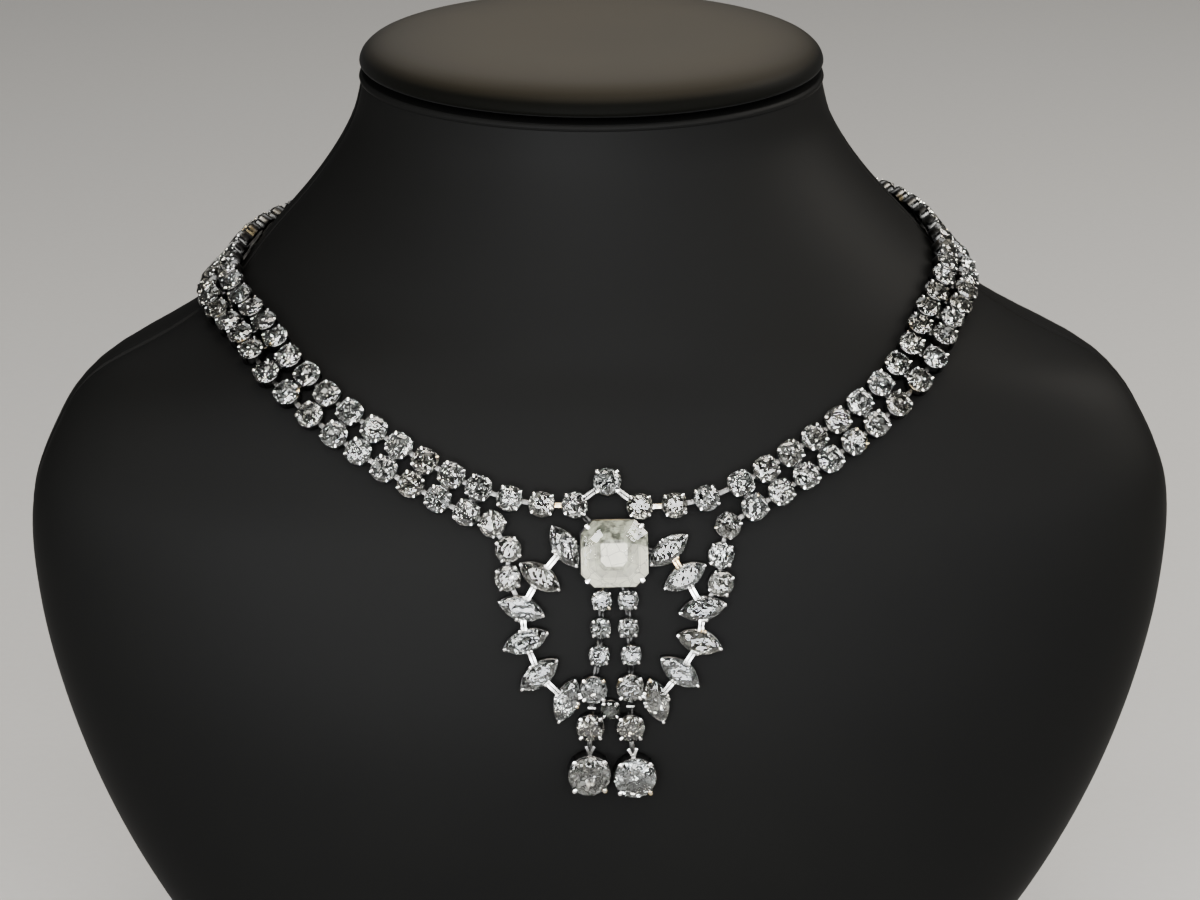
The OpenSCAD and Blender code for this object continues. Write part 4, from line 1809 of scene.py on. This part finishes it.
@dataclass
class Clasp:
    """Plain clasp at the middle of the back."""

    form: BustForm
    shop: Workshop
    # Distance of the last pairs from its middle, and of its own ends from their cups
    reach: float = RowPath.clasp_reach
    end_gap: float = 0.6
    lid_z: float = 2.3
    corner: float = 1.2
    wall: float = 0.45
    pocket: float = 1.8
    row_gap: float = RowPath.row_gap
    corner_steps: int = 5
    # The lid's raised border and its engraved line: width and height of each step inwards
    lid_steps: tuple[Row, ...] = ((0.5, 0.25), (0.5, -0.2), (0.15, 0.2))

    @property
    def half_l(self) -> float:
        """Half of its length."""
        return self.reach - self.shop.row_d / 2 - self.shop.metalwork.rim - self.end_gap

    @property
    def width(self) -> float:
        """Its width."""
        return self.row_gap + self.shop.hook_w + 2 * self.corner

    @property
    def seat(self) -> Seat:
        """Its seat on the back of the neck.

        Returns:
            The seat.
        """
        form, d = self.form, self.form.slope_step
        z = smooth_row(RowPath(form, Side.RIGHT).heights, 180)[2] - self.row_gap / 2
        rise = (form.skin(180, z + d) - form.skin(180, z - d)).normalized()
        along = Vector((-1, 0, 0))
        # Here a millimetre along the neck is about a degree
        angles = [180 + a * self.half_l for a in (-1, 0, 1)]
        levels = [z + v * self.width / 2 for v in (-1, 0, 1)]
        under = [form.skin(angle, level_z) for angle in angles for level_z in levels]
        return form.raised(Seat(form.skin(180, z), along, rise, along.cross(rise)), under)

    def hold(self, side: Side, line: Line) -> Vector:
        """Place that the last hook of a row reaches for."""
        reach = self.half_l - self.wall - self.pocket / 2 - self.shop.hook_stop
        return self.seat.at(-side.value * reach, line.value * self.row_gap / 2)

    def build(self) -> None:
        """Builds the clasp: a rounded box with an engraved line round its lid."""
        bm = bmesh.new()
        bmesh.ops.create_cube(bm, size=1)
        bmesh.ops.scale(bm, vec=(2 * self.half_l, self.width, self.lid_z), verts=bm.verts)
        bmesh.ops.translate(bm, vec=(0, 0, self.lid_z / 2), verts=bm.verts)
        upright = [e for e in bm.edges if abs(e.verts[0].co.z - e.verts[1].co.z) > self.lid_z / 2]
        bmesh.ops.bevel(
            bm,
            geom=upright,
            offset=self.corner,
            affect="EDGES",
            segments=self.corner_steps,
            profile=0.5,
            material=-1,
        )
        lid = [f for f in bm.faces if f.normal.z > 0.9]
        for thickness, depth in self.lid_steps:
            bmesh.ops.inset_region(bm, faces=lid, thickness=thickness, depth=depth)
        piece = Piece("box_clasp", "silver", ("clasp",), (self.shop.silver,))
        piece.lay(kept(bm, "box_clasp_small"), self.seat.matrix())
        piece.done()


@dataclass
class Singles:
    """Single cups of one side: two in the upper row, and three that lead down to the pendant."""

    form: BustForm
    shop: Workshop
    layout: Layout
    row: DoubleRow

    def build(self) -> None:
        """Builds the linked cups and the stones of the single settings."""
        shop, layout, side = self.shop, self.layout, self.row.side
        word = side.word
        upper = layout.seats(self.form, layout.upper_singles, side)
        drops = layout.seats(self.form, layout.side_drops, side)
        carrier = layout.seats(self.form, layout.marquises, side)[layout.drop_carrier]
        piece = Piece(f"single_cups_{word}", "silver", (f"single_settings_{word}",), (shop.silver,))
        chains = (
            [upper[0].place, *(s.place for s in upper[1:]), self.row.first(Line.UPPER)],
            [carrier.place, *(s.place for s in reversed(drops)), self.row.first(Line.LOWER)],
        )
        for seats, places in zip((upper[1:], list(reversed(drops))), chains):
            for k, seat in enumerate(seats):
                shop.linked_cup(piece, seat, places[k + 2], places[k])
        piece.done()
        for kind, row in (("upper_row", upper), ("side_drop", drops)):
            for i, seat in enumerate(row, 1):
                stone = shop.make_round_stone(shop.row_d)
                shop.stone(f"{kind}_gem_{word}_{i}", f"{kind}_stone_{word}_{i}", stone, seat)


@dataclass
class Centre:
    """Pendant: octagon, two wings of marquises, two strings, and the stones at its foot."""

    form: BustForm
    shop: Workshop
    layout: Layout
    strip_w: float = 0.45
    strip_t: float = 0.36
    strip_gap: float = 0.16
    # Strips deep between the stones are black with tarnish and painted shade
    hidden_shine: float = 0.0
    # Heights of the strips to the top stone, along the strings and from the rows to the octagon,
    # and from the wings to the octagon
    top_strip_z: float = 1.6
    octagon_strip_z: float = 1.4
    wing_strip_z: float = 1.2
    top_strip_shine: float = 0.4
    # The wings' strips lie this far over the girdles, and reach this far over the stones
    joint_rise: float = 0.1
    joint_reach: float = 0.3
    last_joint_reach: float = 0.2
    octagon_claws: float = 1.35
    marquise_claws: float = 0.85
    # Half the distance of the two claws on each long side of a marquise
    marquise_claw_shift: float = 0.33
    marquise_sides: int = 24
    # Cross bar between the two medium stones: its size, its place from the upper one, and its shine
    bar_size: Row = (0.4, 1.5, 0.5)
    bar_place: Row = (3.5, 0, 1.8)
    bar_shines: tuple[float, float] = (1.0, 0.5)
    # Two small plates over each drop, which open as a V: size, place, turn in degrees, and shine
    vee_size: Row = (1.7, 0.55, 0.5)
    vee_reach: float = 1.0
    vee_spread: float = 0.42
    vee_z: float = 2.4
    vee_turn: float = 24.0
    vee_shines: tuple[float, float] = (0.2, 1.0)

    def strips(
        self,
        piece: Piece,
        a: Seat,
        b: Vector,
        trims: tuple[float, float],
        z: float,
        shine: float = 1.0,
    ) -> None:
        """Lays two flat strips side by side from one place to another.

        Args:
            piece: The piece that they go into.
            a: Seat that they start from.
            b: Place that they run to.
            trims: How far they stop short of the two middles.
            z: Their height above both seats.
            shine: Share of their shine that they keep.
        """
        start = a.moved(a.at(0, 0, z))
        end = b + z * a.out
        matrix = start.matrix(start.bearing(end), start.rise(end))
        length = (end - start.place).length - trims[0] - trims[1]
        size = (length, self.strip_w, self.strip_t)
        for sign in (-1, 1):
            middle = (trims[0] + length / 2, sign * (self.strip_w + self.strip_gap) / 2, 0)
            piece.lay_plate(self.shop.plate, matrix, size, middle, shine)

    def build(self) -> None:
        """Builds the soldered metal, the drops' settings and all the stones."""
        shop = self.shop
        metal = Piece("pendant_metal", "silver", ("centre_setting",), (shop.silver,))
        self.build_middle(metal)
        for side in Side:
            self.build_wing(metal, side)
            self.build_string(metal, side)
            self.build_drop(side)
        metal.done()

    def build_middle(self, metal: Piece) -> None:
        """Builds the top stone, the octagon and the dark stone with their settings.

        Args:
            metal: The piece that the soldered metal goes into.
        """
        shop, form, layout = self.shop, self.form, self.layout
        top, octagon = form.seat(*layout.top), form.seat(*layout.octagon)
        dark = form.seat(*layout.dark)
        shop.set_round(metal, top, shop.medium_d)
        shop.stone("top_gem", "top_stone", shop.make_round_stone(shop.medium_d), top)
        shop.set_round(metal, dark, shop.dark_d)
        mesh = shop.make_round_stone(shop.dark_d)
        shop.stone("dark_gem", "dark_stone", mesh, dark, glass=shop.smoky)
        outline = octagon_outline(shop.octagon_w, shop.octagon_corner)
        girdle = shop.octagon_girdle
        half = shop.octagon_w / 2
        cup = shop.metalwork.cup(outline, half, half, girdle - shop.octagon_seat, "octagon_cup")
        reach = (shop.octagon_w - shop.octagon_corner) / math.sqrt(2)
        spots = [(turn, reach, 0.0) for turn in range(45, 360, 90)]
        claws = shop.metalwork.claws(spots, girdle, self.octagon_claws, "octagon_claws")
        metal.lay(cup, octagon.matrix())
        metal.lay(claws, octagon.matrix())
        lift, depth = shop.cut.culet_lift, shop.octagon_depth
        steps = tuple((share, lift + depth * z, gone) for share, z, gone in shop.octagon_steps)
        mesh = shop.cut.stepped(outline, half, steps, "octagon_stone_cut")
        shop.stone("octagon_gem", "octagon_stone", mesh, octagon, 0.0, shop.cream)
        for side in Side:
            first, second = layout.seats(form, layout.upper_singles, side)[:2]
            shop.set_round(metal, first, shop.row_d, first.bearing(second.place))
            shop.link(metal, first, shop.row_d / 2 + shop.metalwork.rim, second.place, 1.0)
            trims = (shop.row_d / 2, shop.medium_d / 2)
            self.strips(metal, first, top.place, trims, self.top_strip_z, self.top_strip_shine)
            trims = (shop.row_d / 2, half)
            self.strips(metal, first, octagon.place, trims, self.octagon_strip_z, self.hidden_shine)

    def build_wing(self, metal: Piece, side: Side) -> None:
        """Builds the marquises of one side and the strips that join them.

        Args:
            metal: The piece that the soldered metal goes into.
            side: The wing's side.
        """
        shop, layout, word = self.shop, self.layout, side.word
        seats = layout.seats(self.form, layout.marquises, side)
        half_l, half_w = shop.marquise_l / 2, shop.marquise_w / 2
        girdle = shop.cut.girdle(shop.marquise_w)
        oval = oval_outline(shop.marquise_l, shop.marquise_w, self.marquise_sides)
        top = girdle - shop.cut.girdle_seat
        cup = shop.metalwork.cup(oval, half_l, half_w, top, f"marquise_cup_{word}")
        shifts = (-self.marquise_claw_shift, self.marquise_claw_shift)
        spots = [(turn, half_l, 0.0) for turn in (0, 180)]
        spots += [(turn, half_w, shift) for turn in (90, 270) for shift in shifts]
        claws = shop.metalwork.claws(spots, girdle, self.marquise_claws, f"marquise_claws_{word}")
        for i, (seat, turn) in enumerate(zip(seats, layout.turns(side)), 1):
            metal.lay(cup, seat.matrix(turn))
            metal.lay(claws, seat.matrix(turn))
            name = f"marquise_cut_{word}_{i}"
            mesh = shop.cut.brilliant(oval, half_l, half_w, shop.wing_wear, shop.wing_slip, name)
            shop.stone(f"marquise_gem_{word}_{i}", f"marquise_stone_{word}_{i}", mesh, seat, turn)
        joint_z = girdle + self.joint_rise
        trim = half_w - self.joint_reach
        for seat, following in zip(seats, seats[1:]):
            self.strips(metal, seat, following.place, (trim, trim), joint_z)
        octagon = self.form.seat(*layout.octagon)
        trims = (half_w, shop.octagon_w / 2)
        self.strips(metal, seats[0], octagon.place, trims, self.wing_strip_z, self.hidden_shine)
        medium = layout.seats(self.form, layout.mediums, side)[0]
        trims = (half_w - self.last_joint_reach, shop.medium_d / 2)
        self.strips(metal, seats[-1], medium.place, trims, joint_z)
        drop = layout.seats(self.form, layout.side_drops, side)[2]
        shop.link(metal, seats[layout.drop_carrier], half_w, drop.place)

    def build_string(self, metal: Piece, side: Side) -> None:
        """Builds one string: three small stones and two medium ones, and the bars between them.

        Args:
            metal: The piece that the soldered metal goes into.
            side: The string's side.
        """
        shop, form, layout, word = self.shop, self.form, self.layout, side.word
        small = layout.seats(form, layout.strings, side)
        medium = layout.seats(form, layout.mediums, side)
        for kind, d, row in (("string", shop.small_d, small), ("medium", shop.medium_d, medium)):
            for i, seat in enumerate(row, 1):
                shop.set_round(metal, seat, d)
                stone = shop.make_round_stone(d)
                shop.stone(f"{kind}_gem_{word}_{i}", f"{kind}_stone_{word}_{i}", stone, seat)
        octagon, dark = form.seat(*layout.octagon), form.seat(*layout.dark)
        seats = [*small, *medium]
        radii = [shop.small_d / 2] * len(small) + [shop.medium_d / 2] * len(medium)
        z, shine = self.octagon_strip_z, self.hidden_shine
        self.strips(metal, small[0], octagon.place, (radii[0], shop.octagon_w / 2), z, shine)
        for (seat, r), (following, r_next) in zip(zip(seats, radii), zip(seats[1:], radii[1:])):
            self.strips(metal, seat, following.place, (r, r_next), z, shine)
        self.strips(metal, dark, medium[1].place, (shop.dark_d / 2, radii[-1]), z, shine)
        matrix = medium[0].matrix(medium[0].bearing(medium[1].place))
        shine = self.bar_shines[0 if side is Side.LEFT else 1]
        metal.lay_plate(shop.plate, matrix, self.bar_size, self.bar_place, shine)

    def build_drop(self, side: Side) -> None:
        """Builds a large drop, its setting and the link above it.

        Args:
            side: The drop's side.
        """
        shop, layout, word = self.shop, self.layout, side.word
        seat = layout.seats(self.form, layout.drops, side)[0]
        above = layout.seats(self.form, layout.mediums, side)[1]
        piece = Piece(f"drop_cup_{word}", "silver", (f"drop_setting_{word}",), (shop.silver,))
        shop.set_round(piece, seat, shop.drop_d)
        shop.link(piece, seat, shop.drop_d / 2 + shop.metalwork.rim, above.place)
        turn, shine = seat.bearing(above.place), self.vee_shines[0 if side is Side.LEFT else 1]
        for sign in (-1, 1):
            place = (shop.drop_d / 2 + self.vee_reach, sign * self.vee_spread, self.vee_z)
            loop = seat.matrix(turn) @ Matrix.Translation(place)
            loop @= Matrix.Rotation(math.radians(sign * self.vee_turn), 4, "Z")
            piece.lay_plate(shop.plate, loop, self.vee_size, (0, 0, 0), shine)
        piece.done()
        mesh = shop.make_round_stone(shop.drop_d)
        shop.stone(f"drop_gem_{word}", f"drop_stone_{word}", mesh, seat)


@dataclass
class Bust:
    """Neck bust under black leatherette, with a satin pad on its neck."""

    form: BustForm
    # Faces round the body and the pad, and up the body
    around: int = 144
    up: int = 110
    welt_r: float = 0.9
    welt_inset: float = 1.2
    welt_steps: int = 100
    welt_sides: int = 8
    groove_w: float = 3.0
    groove: float = 0.5
    # The dome from its foot to its top: inset from the rim, and share of the pad's height
    pad_dome: tuple[Row, ...] = (
        (1.2, 0.0),
        (0.2, 0.08),
        (0.0, 0.2),
        (0.7, 0.42),
        (2.6, 0.64),
        (6.5, 0.82),
        (13.0, 0.93),
        (22.0, 0.98),
        (36.0, 1.0),
    )
    # Height of the dome, gap under its edge, and how far its foot stands in and its edge out
    pad_h: float = 6.55
    pad_gap: float = 1.2
    pad_foot: float = 7.0
    pad_overhang: float = 0.5
    pad_up: int = 50
    # Share of the pad's faces that make its foot
    pad_foot_share: float = 0.08
    # Heights above the neck's rim between which the pad's painted shade fades from its dark edge to
    # its pale top
    pad_edge: tuple[float, float] = (3.8, 7.6)
    lip_r: float = 0.7
    # Share of the lip's radius that stands out of the neck
    lip_out: float = 0.6
    lip_sides: int = 10

    def build(self) -> None:
        """Builds the covered body, its welts and the pad."""
        leatherette = BlackLeatherette().material()
        body = Piece("covered_body", "bust", ("bust_body",), (leatherette,))
        form = self.form

        def skin(u: float, w: float) -> Vector:
            """Point of the body, drawn in a little beside the welt.

            Args:
                u: Share of the way round.
                w: Share of the way up.

            Returns:
                The point.
            """
            angle = 360 * u
            z = form.height * w
            here = form.skin(90 + angle, z)
            seam = form.skin(90 if math.cos(math.radians(angle)) > 0 else 270, z)
            pull = self.groove * math.exp(-(((here - seam).length / self.groove_w) ** 2))
            return form.slanted(form.skin(90 + angle, z, pull))

        body.lay(kept(wrapped(self.around, self.up, skin), "body_skin"), Matrix.Scale(MM, 4))
        body.lay(kept(self.welt(), "body_welt"), Matrix.Scale(MM, 4))
        body.lay(kept(self.lip(), "neck_lip"), Matrix.Scale(MM, 4))
        body.done()
        pad = Piece("neck_pad", "cap", ("neck_cap",), (SatinPad().material(),))
        # The shine attribute carries the pad's painted shade on its edge
        edge = tuple(form.height + z for z in self.pad_edge)
        pad.lay(kept(self.pad(), "pad_skin", shine=edge), Matrix.Scale(MM, 4) @ form.slant)
        pad.done()

    def welt(self) -> bmesh.types.BMesh:
        """Thin piping along both side seams.

        Returns:
            The welts.
        """
        bm = bmesh.new()
        steps, rise = self.welt_steps, self.form.height - self.welt_r
        for angle in (90, 270):
            levels = [self.welt_r + rise * j / steps for j in range(steps + 1)]
            line = [self.form.slanted(self.form.skin(angle, z, self.welt_inset)) for z in levels]
            self.tube(bm, line, self.welt_r)
        return bm

    def lip(self) -> bmesh.types.BMesh:
        """Thin rounded lip round the top of the neck.

        Returns:
            The lip.
        """
        z = self.form.height - self.lip_r

        def place(u: float, w: float) -> Vector:
            """Point of the lip.

            Args:
                u: Share of the way round the neck.
                w: Share of the way round its section.

            Returns:
                The point.
            """
            turn = math.tau * w
            inset = self.lip_r * (1 - math.cos(turn)) - self.lip_r * self.lip_out
            skin = self.form.skin(360 * u, z, inset)
            return self.form.slanted(skin + Vector((0, 0, self.lip_r * math.sin(turn))))

        return wrapped(self.around, self.lip_sides, place)

    def tube(self, bm: bmesh.types.BMesh, line: list[Vector], r: float) -> None:
        """Adds a round tube along a line of points.

        Args:
            bm: The bmesh that it is added to.
            line: Points of its middle line.
            r: Its radius.
        """
        places = []
        for j, point in enumerate(line):
            way = line[min(j + 1, len(line) - 1)] - line[max(j - 1, 0)]
            turn = Vector((0, 0, 1)).rotation_difference(way).to_matrix().to_4x4()
            places.append(Matrix.Translation(point) @ turn @ Matrix.Diagonal((r, r, 1, 1)))
        swept(circle_outline(self.welt_sides), places, bm)

    def pad(self) -> bmesh.types.BMesh:
        """Satin pad with a domed top.

        Returns:
            The pad.
        """
        form = self.form
        base, under = form.height + form.seat_gap, form.height + self.pad_gap
        dome = tuple((float(i), inset, share) for i, (inset, share) in enumerate(self.pad_dome))

        def place(u: float, w: float) -> Vector:
            """Point of the pad: its foot, and then the dome's outline.

            Args:
                u: Share of the way round.
                w: Share of the way up.

            Returns:
                The point.
            """
            foot = self.pad_foot_share
            if w < foot:
                inset, z = self.pad_foot, base + (under - base) * w / foot
            else:
                _, inset, share = smooth_row(dome, (w - foot) / (1 - foot) * (len(dome) - 1))
                inset, z = inset - self.pad_overhang, under + share * self.pad_h
            p = form.skin(90 + 360 * u, form.height, inset)
            return Vector((p.x, p.y, z))

        return wrapped(self.around, self.pad_up, place)


@dataclass(frozen=True)
class Softbox:
    """One or more equal area lights that face the necklace."""

    name: str
    # Azimuth and elevation of each, in degrees
    angles: tuple[tuple[float, float], ...]
    # Distance, and width and height, in metres
    distance: float
    size: tuple[float, float]
    # Power of each, in watts
    power: float
    colour: str = "#ffffff"

    @property
    def names(self) -> list[str]:
        """Names of the single lights.

        Returns:
            The names.
        """
        if len(self.angles) == 1:
            return [self.name]
        return [f"{self.name}_{i}" for i in range(len(self.angles))]


@dataclass
class Studio:
    """Pale floor, soft lights and the camera."""

    # Point that the camera looks at and its distance from it, in millimetres
    target: Row = (1.2, 0.0, 117.0)
    azimuth: float = -3.3
    elevation: float = 16.5
    distance: float = 900.0
    lens: float = 136.9
    sensor: float = 36.0
    clip: tuple[float, float] = (0.01, 50.0)
    floor_half: float = 6.0
    wall: str = "#e8e8e6"
    # Strength of the wall's light on the things, and as the camera sees it
    wall_strengths: tuple[float, float] = (0.06, 0.75)
    # The wide boxes glow on cloth and leatherette, and the strips spark in the stones' facets
    softboxes: tuple[Softbox, ...] = (
        Softbox("overhead_softbox", ((10, 80),), 1.1, (0.6, 0.3), 9.4, "#fff6ea"),
        Softbox(
            "front_strip",
            ((-23, 17), (-13, 17), (-3, 17), (7, 17), (17, 17)),
            1.3,
            (0.09, 0.7),
            6.2,
        ),
        Softbox("high_strip", ((2, 42), (2, 52)), 1.15, (0.9, 0.04), 4.2),
        Softbox(
            "side_strip",
            ((-66, 22), (-52, 22), (-38, 22), (32, 22), (45, 22), (58, 22)),
            1.2,
            (0.08, 0.7),
            3.8,
            "#fdfdff",
        ),
        Softbox("low_fill", ((-20, 4),), 1.4, (0.5, 0.12), 14.0, "#f8faff"),
        Softbox("low_bar", ((-3, -7), (-3, 1)), 0.55, (0.5, 0.03), 1.2, "#f4f8ff"),
        Softbox("right_softbox", ((105, 38),), 1.2, (0.4, 0.6), 19.0, "#fff9f0"),
        Softbox("back_softbox", ((176, 40),), 1.9, (1.5, 0.8), 9.0),
    )

    def build(self) -> None:
        """Builds the camera, the world, the floor and the lights."""
        self.camera()
        self.world()
        self.floor()
        for box in self.softboxes:
            for name, angles in zip(box.names, box.angles):
                self.light(box, name, angles)

    def camera(self) -> None:
        """Places the camera at the photograph's angle."""
        back = self.back(self.azimuth, self.elevation)
        data = bpy.data.cameras.new("camera")
        data.sensor_width = self.sensor
        data.lens = self.lens
        data.clip_start, data.clip_end = self.clip
        camera = bpy.data.objects.new("camera", data)
        camera.location = (Vector(self.target) + self.distance * back) * MM
        camera.rotation_euler = (-back).to_track_quat("-Z", "Y").to_euler()
        bpy.context.scene.collection.objects.link(camera)
        bpy.context.scene.camera = camera

    def world(self) -> None:
        """Lights the scene faintly from all round, and shows the camera a pale wall."""
        world = bpy.data.worlds.new("studio")
        world.use_nodes = True
        tree = world.node_tree
        tree.nodes.clear()
        seen = add_node(tree, "ShaderNodeLightPath").outputs["Is Camera Ray"]
        strength = add_node(
            tree,
            "ShaderNodeMapRange",
            {"Value": seen, "To Min": self.wall_strengths[0], "To Max": self.wall_strengths[1]},
        ).outputs["Result"]
        background = add_node(
            tree, "ShaderNodeBackground", {"Color": srgb(self.wall), "Strength": strength}
        )
        add_node(tree, "ShaderNodeOutputWorld", {"Surface": background.outputs["Background"]})
        bpy.context.scene.world = world

    def floor(self) -> None:
        """Lays the pale floor."""
        bm = bmesh.new()
        bmesh.ops.create_grid(bm, x_segments=2, y_segments=2, size=self.floor_half)
        mesh = bpy.data.meshes.new("floor")
        bm.to_mesh(mesh)
        bm.free()
        mesh.materials.append(PaleFloor().material())
        obj = bpy.data.objects.new("floor", mesh)
        bpy.context.scene.collection.objects.link(obj)
        obj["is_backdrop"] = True

    def back(self, azimuth: float, elevation: float) -> Vector:
        """Direction from the bust towards an azimuth and elevation in degrees."""
        az, el = math.radians(azimuth), math.radians(elevation)
        return Vector((math.sin(az) * math.cos(el), -math.cos(az) * math.cos(el), math.sin(el)))

    def light(self, box: Softbox, name: str, angles: tuple[float, float]) -> None:
        """Adds one area light that faces the necklace.

        Args:
            box: What it is like.
            name: Its name.
            angles: Its azimuth and elevation, in degrees.
        """
        data = bpy.data.lights.new(name, "AREA")
        data.shape = "RECTANGLE"
        data.size, data.size_y = box.size
        data.energy = box.power
        data.color = srgb(box.colour)[:3]
        back = self.back(*angles)
        obj = bpy.data.objects.new(name, data)
        obj.location = Vector(self.target) * MM + box.distance * back
        obj.rotation_euler = (-back).to_track_quat("-Z", "Y").to_euler()
        bpy.context.scene.collection.objects.link(obj)


def corners() -> list[list[float]]:
    """Lowest and highest corners of what is shown, in metres."""
    return [list(corner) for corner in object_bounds()]


def main() -> None:
    """Builds the necklace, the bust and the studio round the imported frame."""
    logging.basicConfig(level=logging.INFO, format="%(name)s: %(message)s")
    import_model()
    form, layout = BustForm(), Layout()
    shop = Workshop()
    Bust(form).build()
    clasp = Clasp(form, shop)
    clasp.build()
    for side in Side:
        row = DoubleRow(form, shop, layout, side, clasp)
        row.build()
        Singles(form, shop, layout, row).build()
    Centre(form, shop, layout).build()
    Studio().build()


if __name__ == "__main__":
    main()
